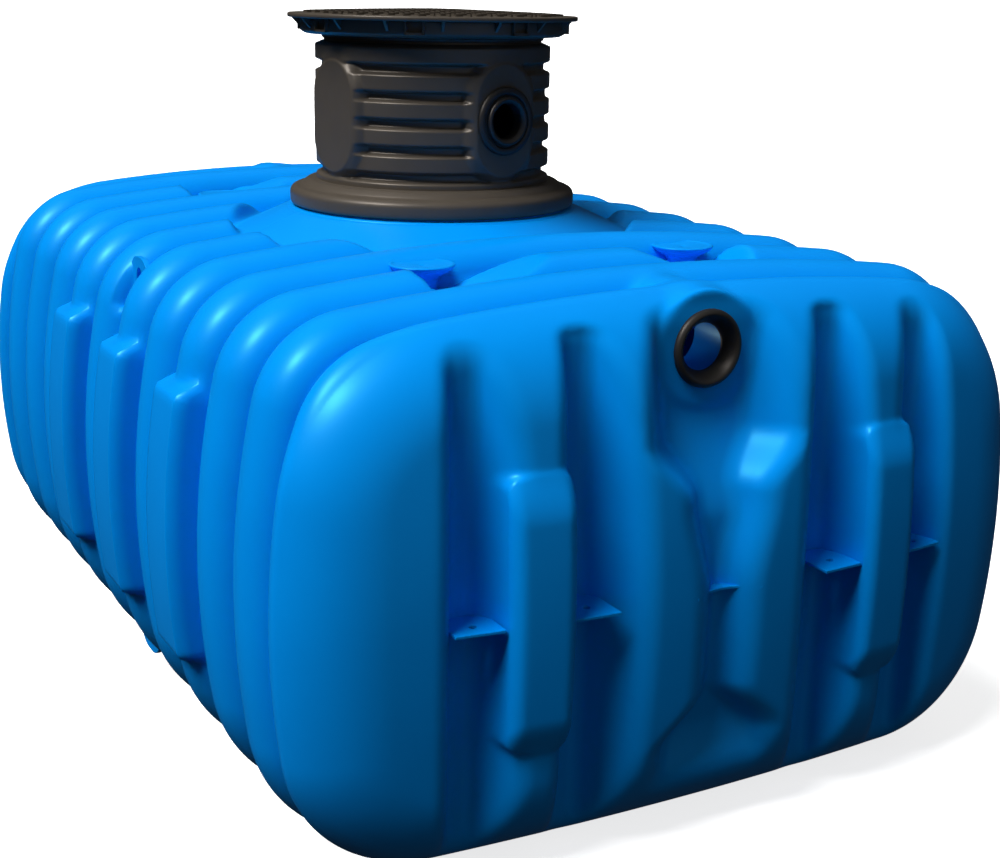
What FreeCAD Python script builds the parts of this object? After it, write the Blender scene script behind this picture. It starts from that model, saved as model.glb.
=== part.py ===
"""Underground rainwater tank: a ribbed moulded shell with a corrugated access shaft.

Millimetres, +Z up, +Y along the tank. The origin is under the middle of the tank, on the
ground. The shell is a barrel of hoops with a bulged end on each side. Its inside is plain,
so the wall is thinnest in the valleys between the hoops and behind the grooves of the ends.
"""
import math
import os

import FreeCAD
import Part

V = FreeCAD.Vector

# Barrel section, measured on the crests of the hoops
half_width = 990.0
half_height = 620.0
corner_radius = 335.0
side_radius = 2600.0
wall = 10.0

# Hoops along the barrel
hoop_count = 10
hoop_pitch = 240.0
hoop_depth = 45.0
crest_land = 50.0
crest_bevel = 42.0
crest_bevel_drop = 8.0

# Bulged ends
end_depth = 280.0
end_inset = 5.0
end_rounding = 240.0
end_inner_inset = 120.0
bow_plan_radius = 4700.0
bow_rise_radius = 2830.0

# Upright grooves in the ends, from and to these distances from the middle
groove_depth = 65.0
groove_inner_near = 280.0
groove_inner_far = 402.0
groove_outer_near = 534.0
groove_outer_far = 660.0

# Middle groove: half-widths at its waist and foot, and the recess round the inlet
centre_waist = 56.0
centre_foot = 150.0
centre_waist_half = 200.0
centre_slope = 150.0
recess_half = 180.0
recess_depth = 142.0
recess_bottom = 300.0

# Raised blocks on the ribs of the ends, up and down from mid-height
block_rise = 28.0
outer_block_top = 335.0
outer_block_foot = 290.0
inner_block_top = 320.0
inner_block_foot = 240.0
block_slope = 70.0

# Tie plates across the grooves
tie_thickness = 7.0
tie_hole_radius = 9.0
tie_arch = 34.0

# Raised blocks on every second hoop of the sides
side_block_first = 2
side_block_count = 3
side_block_width = 110.0
side_block_rise = 24.0
side_block_top = 400.0
side_block_foot = 300.0
side_block_slope = 60.0

# Lifting lugs in the middle valley of the shoulders and heels
lug_thickness = 14.0
lug_drop = 8.0
lug_length = 120.0
lug_hole_radius = 28.0

# Support pads in the roof valleys, counted from the middle of the tank
pad_radius = 65.0
pad_across = 367.0
pad_valley = 3
pad_drop = 15.0

# Inlets in the ends and their bosses, which run back over the first valley
inlet_drop = 115.0
inlet_hole_radius = 69.0
boss_radius = 112.0
boss_run = 100.0

# Lip seals
seal_radius = 90.0
seal_flange = 18.0
seal_lip_radius = 50.0
seal_mouth_radius = 68.0
seal_tail = 24.0
seal_gap = 0.3

# Neck under the shaft
neck_foot_radius = 520.0
neck_top_radius = 396.0
neck_rise = 62.0
neck_wall = 20.0
neck_rim = 14.0
neck_rim_radius = 380.0

# Shaft flange
flange_radius = 401.0
flange_step_radius = 368.0
flange_base = 42.0
flange_step = 26.0
flange_bevel = 12.0

# Shaft wall
shaft_radius = 319.0
shaft_bore_radius = 292.0
ring_depth = 17.0
ring_pitch = 68.0
ring_count = 5
ring_groove = 26.0
collar_radius = 306.0
collar_height = 32.0

# Oval flats around the shaft
flat_count = 4
flat_width = 190.0
flat_height = 296.0
flat_reach = 334.0
flat_turn = 9.0
flat_rise = 172.0

# Lid
lid_radius = 400.0
lid_edge = 13.0
lid_crown = 12.0
lid_flat_radius = 120.0
skirt_radius = 367.0
skirt_height = 46.0
skirt_wall = 14.0
gusset_count = 16
gusset_thickness = 8.0
gusset_drop = 30.0

# Worked out from the sizes above
middle = half_height
barrel_half = hoop_count * hoop_pitch / 2.0
front_hoops = hoop_count // 2
middle_valley = front_hoops * hoop_pitch - barrel_half
pad_along = pad_valley * hoop_pitch
flank = (hoop_pitch - crest_land) / 2.0
shell_depth = hoop_depth + wall
fill_depth = 4.0 * hoop_depth
end_tip = barrel_half + end_depth
recess_face = end_tip - recess_depth
recess_foot = middle + recess_bottom
end_inner = recess_face - wall
grooves = ((groove_inner_near, groove_inner_far), (groove_outer_near, groove_outer_far))
roof_crest = 2.0 * half_height
roof_valley = roof_crest - hoop_depth
inlet_height = roof_crest - inlet_drop
neck_top = roof_valley + neck_rise + neck_rim
shaft_base = neck_top + flange_base + flange_step
shaft_top = shaft_base + ring_count * ring_pitch + collar_height
skirt_top = shaft_top + skirt_height

# Centre of the corner arcs, the turn of the bowed side up to them, and the corner's seam
corner_rise = half_height - corner_radius
corner_across = half_width - side_radius + math.sqrt((side_radius - corner_radius) ** 2 - corner_rise ** 2)
side_turn = math.degrees(math.asin(corner_rise / (side_radius - corner_radius)))
corner_seam = (side_turn + 90.0) / 2.0

ALONG = V(0, 1, 0)
ACROSS = V(1, 0, 0)
UP = V(0, 0, 1)


def save(shapes, name):
    """Write one node of one or more solids that don't touch."""
    Part.makeCompound(shapes).exportStep(os.path.join("parts", name + ".step"))


def save_both_ends(shapes, name):
    """Write a node at the front and its mirror image at the rear."""
    save(shapes, "front_" + name)
    save([mirrored(shape, ALONG) for shape in shapes], "rear_" + name)


def flat_face(points):
    """Face inside straight edges."""
    return Part.Face(Part.makePolygon(points + points[:1]))


def closed_face(edges):
    """Face inside edges given in any order."""
    return Part.Face(Part.Wire(Part.__sortEdges__(edges)))


def arc(start, through, end):
    """Circular edge through three points."""
    return Part.Arc(start, through, end).toShape()


def turned(points):
    """Solid turned about the shaft's axis from points of radius and height."""
    return flat_face([V(r, 0, z) for r, z in points]).revolve(V(0, 0, 0), UP, 360)


def mirrored(shape, normal, height=0.0):
    """Copy on the other side of a plane across the tank."""
    return shape.mirror(V(0, 0, height), normal)


def both_sides(shape):
    """A shape on the right and its mirror image on the left."""
    return [shape, mirrored(shape, ACROSS)]


def turned_copy(shape, angle):
    """Copy turned about the shaft's axis."""
    copy = shape.copy()
    copy.rotate(V(0, 0, 0), UP, angle)
    return copy


def block(low, high):
    """Box from its lowest to its highest corner."""
    size = high.sub(low)
    return Part.makeBox(size.x, size.y, size.z, low)


# Section and hoops of the barrel

def corner_point(reach, angle, y):
    """Point about the centre of the right upper corner."""
    turn = math.radians(angle)
    return V(corner_across + reach * math.cos(turn), y, middle + corner_rise + reach * math.sin(turn))


def section_face(inset, y):
    """Section of the tank: flat top and bottom, round corners and bowed sides."""
    radius = corner_radius - inset
    side, seam, top = [corner_point(radius, angle, y) for angle in (side_turn, corner_seam, 90.0)]
    right = [arc(side, seam, top)]
    right.append(mirrored(right[0], UP, middle))
    right.append(arc(side, V(half_width - inset, y, middle), V(side.x, y, 2.0 * middle - side.z)))
    edges = right + [mirrored(edge, ACROSS) for edge in right]
    flat_top = Part.makeLine(top, V(-top.x, y, top.z))
    return closed_face(edges + [flat_top, mirrored(flat_top, UP, middle)])


def flank_points(crest_edge, direction):
    """Crest edge, bevel and valley of one flank of a hoop, as distance along and height."""
    return [
        (crest_edge, 0.0),
        (crest_edge + direction * crest_bevel, -crest_bevel_drop),
        (crest_edge + direction * flank, -hoop_depth),
    ]


def hoop_centre(number):
    """Distance of a hoop from the middle of the tank."""
    return (number + 0.5) * hoop_pitch - barrel_half


def hoops_profile(numbers, depth):
    """Function that places the profile of a run of hoops, from the crests down to a depth."""
    def profile(place):
        points = []
        for number in numbers:
            rising = flank_points(hoop_centre(number) - crest_land / 2.0, -1)
            falling = flank_points(hoop_centre(number) + crest_land / 2.0, 1)
            points += rising[::-1][bool(points):] + falling
        points += [(points[-1][0], -depth), (points[0][0], -depth)]
        return flat_face([place(y, height) for y, height in points])

    return profile


def end_flank(place):
    """What is cut from the rim of an end so that it runs down into the last valley."""
    crest = -barrel_half - flank
    points = flank_points(crest, 1) + [(-barrel_half, hoop_depth), (crest, hoop_depth)]
    return flat_face([place(y, height) for y, height in points])


def side_sweep(profile):
    """Profile turned along the bowed right side."""
    centre_x = half_width - side_radius
    turn = math.radians(side_turn)

    def place(y, height):
        reach = side_radius + height
        return V(centre_x + reach * math.cos(turn), y, middle - reach * math.sin(turn))

    return profile(place).revolve(V(centre_x, 0, middle), -ALONG, 2.0 * side_turn)


def corner_sweep(profile, start=side_turn, end=90.0):
    """Profile turned along the right upper corner, or a stretch of it."""
    def place(y, height):
        return corner_point(corner_radius + height, start, y)

    return profile(place).revolve(V(corner_across, 0, middle + corner_rise), -ALONG, end - start)


def top_sweep(profile):
    """Profile run straight across the top."""
    def place(y, height):
        return V(-corner_across, y, roof_crest + height)

    return profile(place).extrude(V(2.0 * corner_across, 0, 0))


# Ends

def bow_solid():
    """Body behind the bowed face of the front end: an upright arc turned about an upright axis."""
    reach = half_width
    back = end_tip - bow_rise_radius + math.sqrt(bow_rise_radius ** 2 - reach ** 2)
    axis_y = bow_plan_radius - end_tip
    low = V(0, -back, middle - reach)
    high = V(0, -back, middle + reach)
    edges = [
        arc(low, V(0, -end_tip, middle), high),
        Part.makeLine(high, V(0, axis_y, middle + reach)),
        Part.makeLine(V(0, axis_y, middle + reach), V(0, axis_y, middle - reach)),
        Part.makeLine(V(0, axis_y, middle - reach), low),
    ]
    half_turn = math.degrees(math.asin(1.5 * half_width / bow_plan_radius))
    face = closed_face(edges)
    face.rotate(V(0, axis_y, 0), UP, -half_turn)
    return face.revolve(V(0, axis_y, 0), UP, 2.0 * half_turn)


def end_body():
    """Solid front end with its edge rounded, run down into the last valley."""
    start = -barrel_half + end_rounding
    prism = section_face(end_inset, start).extrude(V(0, -2.0 * end_tip - start, 0))
    body = prism.common(bow_solid())
    front = min(body.Faces, key=lambda face: face.CenterOfMass.y)
    body = body.makeFillet(end_rounding, front.Edges)
    trims = [block(V(-2.0 * half_width, -barrel_half, -middle), V(2.0 * half_width, end_tip, 2.0 * roof_crest))]
    for sweep in (side_sweep, corner_sweep, top_sweep):
        upper = both_sides(sweep(end_flank))
        trims += upper + [mirrored(cutter, UP, middle) for cutter in upper]
    return body.cut(trims)


def bowed_front(across):
    """Distance of the end's plain face from the middle of the tank, at mid-height."""
    return end_tip - bow_plan_radius + math.sqrt(bow_plan_radius ** 2 - across ** 2)


def groove_floor(span):
    """Distance of a groove's flat floor from the middle of the tank."""
    return bowed_front((span[0] + span[1]) / 2.0) - groove_depth


def groove_cutters():
    """Cutters of the upright grooves of the front end."""
    cutters = []
    for near, far in grooves:
        floor = groove_floor((near, far))
        cutters += both_sides(block(V(near, -floor - end_tip, 0), V(far, -floor, roof_crest)))
    half = [
        (centre_foot, 0.0),
        (centre_foot, middle - centre_waist_half - centre_slope),
        (centre_waist, middle - centre_waist_half),
        (centre_waist, roof_crest),
    ]
    outline = half + [(-x, z) for x, z in reversed(half)]
    floor = bowed_front(0.0) - groove_depth
    cutters.append(flat_face([V(x, -floor, z) for x, z in outline]).extrude(V(0, -end_tip, 0)))
    return cutters


def end_block(low, high, foot, top):
    """Block raised from a rib of the front end, with sloped shoulders."""
    face = bowed_front(high)
    root = face - groove_depth
    profile = [
        V(low, -root, middle - foot),
        V(low, -face, middle - foot),
        V(low, -face - block_rise, middle - foot + block_rise),
        V(low, -face - block_rise, middle + top - block_slope),
        V(low, -face + wall, middle + top),
        V(low, -root, middle + top),
    ]
    return flat_face(profile).extrude(V(high - low, 0, 0))


def end_space(half, low, high, back, front):
    """Room across the front end, between two heights and two distances from the middle of the tank."""
    return block(V(-half, -front, low), V(half, -back, high))


def tube_along(radius, back, front):
    """Round bar along the inlet's axis at the front end."""
    return Part.makeCylinder(radius, front - back, V(0, -front, inlet_height), ALONG)


def end_face(body):
    """Bulged face with its grooves and blocks: its middle, and its sides with the horns beside the recess."""
    beyond = 2.0 * end_tip
    recess = end_space(recess_half, recess_foot, 2.0 * roof_crest, end_inner, beyond)
    face = body.common(end_space(2.0 * half_width, -middle, 2.0 * roof_crest, end_inner, beyond))
    face = face.cut(groove_cutters() + [recess, tube_along(boss_radius, barrel_half, recess_face)])
    blocks = both_sides(end_block(groove_inner_far, groove_outer_near, outer_block_foot, outer_block_top))
    blocks += both_sides(end_block(centre_waist, groove_inner_near, inner_block_foot, inner_block_top))
    face = face.fuse([piece.cut(recess) for piece in blocks])
    centre = end_space(groove_inner_near, -middle, recess_foot, end_inner, beyond)
    return [face.common(centre)], face.cut(centre).Solids


def end_rim(body):
    """Rounded rim round the hollow of the front end: its corners, and the straight stretches between them."""
    hollow = section_face(end_inner_inset, -barrel_half).extrude(V(0, barrel_half - end_inner, 0))
    front = end_space(2.0 * half_width, -middle, 2.0 * roof_crest, end_inner, 2.0 * end_tip)
    rim = body.cut([front, hollow, tube_along(boss_radius, barrel_half, end_inner)])
    corner = block(V(corner_across, -end_tip, middle + corner_rise), V(2.0 * half_width, 0, 2.0 * roof_crest))
    corners = both_sides(corner)
    corners += [mirrored(piece, UP, middle) for piece in corners]
    return [rim.common(piece) for piece in corners], rim.cut(corners).Solids


def inlet_socket(body):
    """Floor of the recess and the boss behind it, bored for the seal and the pipe."""
    panel = body.common(end_space(recess_half, recess_foot, 2.0 * roof_crest, end_inner, recess_face))
    boss = tube_along(boss_radius, barrel_half, recess_face)
    return panel.fuse(boss).cut(tube_along(inlet_hole_radius, barrel_half, recess_face))


def tie_plate(span):
    """Plate across a groove at mid-height, with a hole."""
    low, high = span
    floor = groove_floor(span)
    corners = [V(low, -floor, 0), V(high, -floor, 0), V(high, -bowed_front(high), 0), V(low, -bowed_front(low), 0)]
    plate = flat_face(corners).extrude(V(0, 0, tie_thickness))
    front = (floor + bowed_front((low + high) / 2.0)) / 2.0
    plate = plate.cut(Part.makeCylinder(tie_hole_radius, tie_thickness, V((low + high) / 2.0, -front, 0), UP))
    plate.translate(V(0, 0, middle - tie_thickness / 2.0))
    return plate


def centre_tie():
    """Plate across the waist of the middle groove, with an arched front edge."""
    floor = bowed_front(0.0) - groove_depth
    front = bowed_front(centre_waist)
    z = middle - tie_thickness / 2.0
    left = V(-centre_waist, -front, z)
    right = V(centre_waist, -front, z)
    edges = [
        arc(left, V(0, tie_arch - front, z), right),
        Part.makeLine(right, V(centre_waist, -floor, z)),
        Part.makeLine(V(centre_waist, -floor, z), V(-centre_waist, -floor, z)),
        Part.makeLine(V(-centre_waist, -floor, z), left),
    ]
    return closed_face(edges).extrude(V(0, 0, tie_thickness))


# Pieces moulded on the barrel

def side_block(number, fills):
    """Block raised from a hoop of the right side, with sloped ends."""
    centre_x = half_width - side_radius
    along = hoop_centre(number) - side_block_width / 2.0

    def point(reach, height):
        return V(centre_x + math.sqrt((side_radius + reach) ** 2 - height ** 2), along, middle + height)

    low = point(side_block_rise, side_block_slope - side_block_foot)
    high = point(side_block_rise, side_block_top - side_block_slope)
    top = point(-fill_depth / 2.0, side_block_top)
    bottom = point(-fill_depth / 2.0, -side_block_foot)
    profile = flat_face([low, point(side_block_rise, 0.0), high, top, bottom])
    return profile.extrude(V(0, side_block_width, 0)).cut(fills)


def lifting_lug(fill):
    """Plate with an eye, across the middle valley of the right shoulder."""
    face = corner_radius - lug_drop
    plate = block(V(face - lug_thickness, -hoop_pitch / 2.0, -lug_length / 2.0),
                  V(face, hoop_pitch / 2.0, lug_length / 2.0))
    plate = plate.cut(Part.makeCylinder(lug_hole_radius, corner_radius, V(0, 0, 0), ACROSS))
    plate.rotate(V(0, 0, 0), -ALONG, corner_seam)
    plate.translate(V(corner_across, middle_valley, middle + corner_rise))
    return plate.cut(fill)


def support_pad(x, y, fill):
    """Flat-topped post in a roof valley."""
    top = roof_crest - pad_drop
    return Part.makeCylinder(pad_radius, hoop_depth, V(x, y, top - hoop_depth), UP).cut(fill)


# Seals, neck, shaft and lid

def lip_seal(face, height):
    """Lip seal at the front, its flange on a face at this distance from the shaft's axis."""
    tail = inlet_hole_radius - seal_gap
    seal = turned([
        (seal_lip_radius, -seal_tail),
        (seal_lip_radius, seal_flange / 2.0),
        (seal_mouth_radius, seal_flange),
        (seal_radius, seal_flange),
        (seal_radius, 0.0),
        (tail, 0.0),
        (tail, -seal_tail),
    ])
    seal.rotate(V(0, 0, 0), ACROSS, 90)
    seal.translate(V(0, -face, height))
    return seal


def neck():
    """Cone that lifts the shaft's seat over the hoops, with a stepped rim."""
    foot = roof_crest - shell_depth
    run = (neck_foot_radius - neck_top_radius) / neck_rise
    spread = neck_foot_radius + run * wall
    cone_top = roof_valley + neck_rise
    return turned([
        (spread, foot),
        (neck_top_radius, cone_top),
        (neck_rim_radius, cone_top),
        (neck_rim_radius, neck_top),
        (neck_rim_radius - neck_wall, neck_top),
        (neck_rim_radius - neck_wall, cone_top - neck_wall),
        (spread - 2.0 * neck_wall * run, foot),
    ])


def neck_fill():
    """Everything inside the neck's cone, to open the roof."""
    foot = roof_crest - shell_depth
    run = (neck_foot_radius - neck_top_radius) / neck_rise
    reach = 3.0 * wall
    return turned([
        (0.0, foot - reach),
        (neck_foot_radius + run * (wall + reach), foot - reach),
        (neck_top_radius, roof_valley + neck_rise),
        (0.0, roof_valley + neck_rise),
    ])


def shaft_flange():
    """Stepped flange on the neck's rim."""
    step = neck_top + flange_base
    return turned([
        (shaft_bore_radius, neck_top),
        (flange_radius, neck_top),
        (flange_radius, step - flange_bevel),
        (flange_radius - flange_bevel, step),
        (flange_step_radius, step),
        (flange_step_radius - flange_bevel, shaft_base),
        (shaft_bore_radius, shaft_base),
    ])


def oval_bar():
    """Upright oval run from the shaft's axis out to the flat at the front."""
    radius = flat_width / 2.0
    centre = shaft_base + flat_rise
    half = flat_height / 2.0 - radius
    left = V(-radius, 0, centre - half)
    right = V(radius, 0, centre - half)
    edges = [
        arc(left, V(0, 0, centre - half - radius), right),
        Part.makeLine(right, V(radius, 0, centre + half)),
        arc(V(radius, 0, centre + half), V(0, 0, centre + half + radius), V(-radius, 0, centre + half)),
        Part.makeLine(V(-radius, 0, centre + half), left),
    ]
    return closed_face(edges).extrude(V(0, -flat_reach, 0))


def shaft_bar():
    """Inside of the shaft."""
    return Part.makeCylinder(shaft_bore_radius, shaft_top, V(0, 0, 0), UP)


def shaft_ring():
    """Corrugated wall of the shaft, all the way round."""
    low = shaft_radius - ring_depth
    half = (ring_pitch - ring_groove) / 2.0
    outline = [(shaft_bore_radius, shaft_base), (low, shaft_base)]
    for number in range(ring_count):
        centre = shaft_base + (number + 0.5) * ring_pitch
        outline += [
            (low, centre - half),
            (shaft_radius, centre - half),
            (shaft_radius, centre + half),
            (low, centre + half),
        ]
    outline += [
        (low, shaft_top - collar_height),
        (collar_radius, shaft_top - collar_height),
        (collar_radius, shaft_top),
        (shaft_bore_radius, shaft_top),
    ]
    return turned(outline)


def flat_strip():
    """Room of an upright strip of the wall, as wide as the flat at the front."""
    half = flat_width / 2.0
    return block(V(-half, -flat_reach, shaft_base), V(half, 0, shaft_top))


def flat_angles():
    """Turns of the flats about the shaft, the one with the pipe seal first."""
    return [flat_turn + number * 360.0 / flat_count for number in range(flat_count)]


def lid_skirt():
    """Ring under the lid with gussets out to the plate's edge."""
    inner = skirt_radius - skirt_wall
    ring = turned([(inner, shaft_top), (skirt_radius, shaft_top), (skirt_radius, skirt_top), (inner, skirt_top)])
    gusset = flat_face([
        V(inner + skirt_wall / 2.0, 0, skirt_top - gusset_drop),
        V(skirt_radius, 0, skirt_top - gusset_drop),
        V(lid_radius - lid_edge / 2.0, 0, skirt_top),
        V(inner + skirt_wall / 2.0, 0, skirt_top),
    ]).extrude(V(0, gusset_thickness, 0))
    gusset.translate(V(0, -gusset_thickness / 2.0, 0))
    step = 360.0 / gusset_count
    seat = turned([
        (collar_radius - neck_wall / 2.0, shaft_top),
        (inner, shaft_top),
        (inner, shaft_top + skirt_wall),
        (collar_radius - neck_wall / 2.0, shaft_top + skirt_wall),
    ])
    return ring.fuse([seat] + [turned_copy(gusset, number * step) for number in range(gusset_count)])


def lid_plate():
    """Lid that rises slightly from its edge to a flat middle."""
    crown = skirt_top + lid_edge + lid_crown
    return turned([
        (0.0, skirt_top),
        (lid_radius, skirt_top),
        (lid_radius, skirt_top + lid_edge),
        (lid_flat_radius, crown),
        (0.0, crown),
    ])


def save_barrel():
    """Panels of the barrel, the corners in two stretches each and halved at the middle valley."""
    all_hoops = range(hoop_count)
    right_wall = side_sweep(hoops_profile(all_hoops, shell_depth))
    save([right_wall], "right_wall")
    save([mirrored(right_wall, ACROSS)], "left_wall")
    floor = mirrored(top_sweep(hoops_profile(all_hoops, shell_depth)), UP, middle)
    save([floor], "floor")
    for half, numbers in (("front", range(front_hoops)), ("rear", range(front_hoops, hoop_count))):
        profile = hoops_profile(numbers, shell_depth)
        save([top_sweep(profile).cut(neck_fill())], half + "_roof")
        for stretch, start, end in (("flank", side_turn, corner_seam), ("shoulder", corner_seam, 90.0)):
            panels = both_sides(corner_sweep(profile, start, end))
            save(panels, "%s_upper_%ss" % (half, stretch))
            save([mirrored(panel, UP, middle) for panel in panels], "%s_lower_%ss" % (half, stretch))


def save_barrel_mouldings():
    """Blocks, lugs, pads and inlet saddles moulded on the barrel."""
    profile = hoops_profile(range(hoop_count), fill_depth)
    corner_fill = corner_sweep(profile)
    side_fills = [side_sweep(profile), corner_fill, mirrored(corner_fill, UP, middle)]
    top_fill = top_sweep(profile)
    numbers = [side_block_first + 2 * number for number in range(side_block_count)]
    blocks = [mirrored(side_block(number, side_fills), ACROSS) for number in numbers]
    save(blocks, "left_blocks")
    save([turned_copy(piece, 180.0) for piece in blocks], "right_blocks")
    lug = lifting_lug(corner_fill)
    lugs = [lug, mirrored(lug, UP, middle)]
    save(lugs, "right_lifting_lugs")
    save([mirrored(piece, ACROSS) for piece in lugs], "left_lifting_lugs")
    save_both_ends([support_pad(x, -pad_along, top_fill) for x in (-pad_across, pad_across)], "support_pads")
    saddle = tube_along(boss_radius, barrel_half - boss_run, barrel_half)
    below = block(V(-half_width, -barrel_half, 0), V(half_width, barrel_half, inlet_height))
    save_both_ends([saddle.cut([below, top_fill])], "inlet_saddle")


def save_ends():
    """Both ends, their inlets and tie plates."""
    body = end_body()
    middle_face, side_faces = end_face(body)
    corners, stretches = end_rim(body)
    save_both_ends(middle_face, "end_middle")
    save_both_ends(side_faces, "end_sides")
    save_both_ends(corners, "rim_corners")
    save_both_ends(stretches, "rim")
    save_both_ends([inlet_socket(body)], "inlet_socket")
    ties = [centre_tie()]
    for span in grooves:
        ties += both_sides(tie_plate(span))
    save_both_ends(ties, "tie_plates")


def save_shaft():
    """Neck, shaft, seals and lid."""
    save([neck()], "neck")
    save([shaft_flange()], "shaft_flange")
    ring = shaft_ring()
    angles = flat_angles()
    save(ring.cut([turned_copy(flat_strip(), angle) for angle in angles]).Solids, "shaft_wall")
    flat = ring.common(flat_strip()).fuse(oval_bar().cut(shaft_bar()))
    height = shaft_base + flat_rise
    socket = flat.cut(Part.makeCylinder(inlet_hole_radius, flat_reach, V(0, 0, height), -ALONG))
    save([turned_copy(socket, angles[0])], "shaft_socket")
    save([turned_copy(flat, angle) for angle in angles[1:]], "shaft_flats")
    inlet_seal = lip_seal(recess_face, inlet_height)
    shaft_seal = turned_copy(lip_seal(flat_reach, height), angles[0])
    save([inlet_seal, mirrored(inlet_seal, ALONG), shaft_seal], "lip_seals")
    save([lid_skirt()], "lid_skirt")
    save([lid_plate()], "lid_plate")


os.makedirs("parts", exist_ok=True)
save_barrel()
save_barrel_mouldings()
save_ends()
save_shaft()
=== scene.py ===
"""Underground rainwater tank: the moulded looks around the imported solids.

Metres, +Z up, +Y along the tank, with the near end at -Y. The shell is modelled as the mould gives
it: hoops that run into each other in narrow valleys, bulged ends with soft grooves, and blocks,
pads and bosses that grow out of the wall. The shaft and its lid are turned and dressed with ribs.
"""
import logging
import math
from dataclasses import dataclass
from enum import Enum

import bmesh
import bpy
import numpy as np
from mathutils import Matrix, Vector


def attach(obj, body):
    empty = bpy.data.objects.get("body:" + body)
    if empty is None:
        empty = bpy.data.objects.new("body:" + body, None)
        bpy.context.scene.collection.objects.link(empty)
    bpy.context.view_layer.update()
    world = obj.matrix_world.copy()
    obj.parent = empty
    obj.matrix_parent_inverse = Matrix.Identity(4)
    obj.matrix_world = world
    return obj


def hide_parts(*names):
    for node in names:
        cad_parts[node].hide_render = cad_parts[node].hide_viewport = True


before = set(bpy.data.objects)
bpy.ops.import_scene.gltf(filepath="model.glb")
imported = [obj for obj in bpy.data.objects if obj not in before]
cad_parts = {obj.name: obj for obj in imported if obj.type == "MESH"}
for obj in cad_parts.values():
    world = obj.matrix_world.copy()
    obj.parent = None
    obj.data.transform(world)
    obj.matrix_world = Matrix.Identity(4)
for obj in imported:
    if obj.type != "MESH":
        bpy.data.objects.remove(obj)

Array = np.ndarray
log = logging.getLogger("rainwater_tank")

BODY = "root"
MM = 0.001
NEAR_AXIS = 1e-4  # radius of a turned piece's innermost points, so that no face collapses on the axis
LEAST_SLOPE = 0.2  # least divisor where a distance is stretched along a slope
EDGE_SHARE = 0.45  # most of an edge that the rounding of one corner takes up
FAR = 1.0  # height far beyond any hoop, for places that a shape doesn't reach


class Slot(Enum):
    """Material slots of the record."""

    TANK = "tank"
    SHAFT = "shaft"
    SEAL = "seal"


class End(Enum):
    """The two ends of the tank, by the side of the middle they are on."""

    FRONT = -1.0
    REAR = 1.0

    @property
    def label(self) -> str:
        """Name used in the names of nodes and pieces."""
        return self.name.lower()


# Colour and shading

def linear(code: str) -> tuple[float, float, float, float]:
    """Turn an sRGB hex colour to linear light.

    Args:
        code: six hex digits after a hash.

    Returns:
        Red, green, blue and an opacity of one.
    """
    parts = [int(code[at:at + 2], 16) / 255.0 for at in (1, 3, 5)]
    red, green, blue = [p / 12.92 if p <= 0.04045 else ((p + 0.055) / 1.055) ** 2.4 for p in parts]
    return red, green, blue, 1.0


def add_node(tree: bpy.types.NodeTree, kind: str, settings: dict | None = None,
             links: dict | None = None) -> bpy.types.Node:
    """Add a node with its settings and links.

    Args:
        tree: node tree that gets the node.
        kind: Blender's name for the node.
        settings: values by the name of an input or of a property.
        links: output sockets by the name of the input they feed.

    Returns:
        The new node.
    """
    node = tree.nodes.new(kind)
    sockets = {name: socket for socket in reversed(node.inputs[:])
               for name in (socket.name, socket.identifier)}
    for name, value in (settings or {}).items():
        if name in sockets:
            sockets[name].default_value = value
        else:
            setattr(node, name, value)
    for name, output in (links or {}).items():
        tree.links.new(output, sockets[name])
    return node


@dataclass(frozen=True)
class MouldedFinish:
    """Plastic or rubber as it leaves its mould: a faint mottle, an uneven gloss and a soft skin."""

    name: str
    colour: str
    mottle_colour: str
    tint: str
    ior: float
    roughness: float
    gloss_spread: float
    mottle_mm: float
    skin_mm: float
    skin_height_mm: float
    skin_strength: float

    def make(self) -> bpy.types.Material:
        """Build the material.

        Returns:
            A material with its colour, gloss and skin worked out from real sizes.
        """
        material = bpy.data.materials.new(self.name)
        material.use_nodes = True
        tree = material.node_tree
        tree.nodes.clear()
        place = add_node(tree, "ShaderNodeTexCoord").outputs["Object"]
        mottle = add_node(tree, "ShaderNodeTexNoise", {"Scale": 1.0 / (self.mottle_mm * MM), "Detail": 4.0},
                          {"Vector": place}).outputs["Fac"]
        skin = add_node(tree, "ShaderNodeTexNoise", {"Scale": 1.0 / (self.skin_mm * MM), "Detail": 2.0},
                        {"Vector": place}).outputs["Fac"]
        colour = add_node(tree, "ShaderNodeMix", {
            "data_type": "RGBA", "A_Color": linear(self.colour), "B_Color": linear(self.mottle_colour)},
            {"Factor_Float": mottle}).outputs[2]
        gloss = add_node(tree, "ShaderNodeMapRange", {
            "To Min": self.roughness - self.gloss_spread, "To Max": self.roughness + self.gloss_spread},
            {"Value": mottle}).outputs["Result"]
        bump = add_node(tree, "ShaderNodeBump", {
            "Distance": self.skin_height_mm * MM, "Strength": self.skin_strength},
            {"Height": skin}).outputs["Normal"]
        shader = add_node(tree, "ShaderNodeBsdfPrincipled", {
            "IOR": self.ior, "Specular Tint": linear(self.tint)},
            {"Base Color": colour, "Roughness": gloss, "Normal": bump})
        add_node(tree, "ShaderNodeOutputMaterial", {}, {"Surface": shader.outputs["BSDF"]})
        return material


# Rotationally moulded polyethylene: an even, saturated blue with a waxy satin gloss and cyan highlights
BLUE_POLYETHYLENE = MouldedFinish(
    name="polyethylene_rotomoulded_blue", colour="#0094f2", mottle_colour="#008be8", tint="#62ecff", ior=1.51,
    roughness=0.36, gloss_spread=0.03, mottle_mm=180.0, skin_mm=9.0, skin_height_mm=0.25, skin_strength=0.25)

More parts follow.
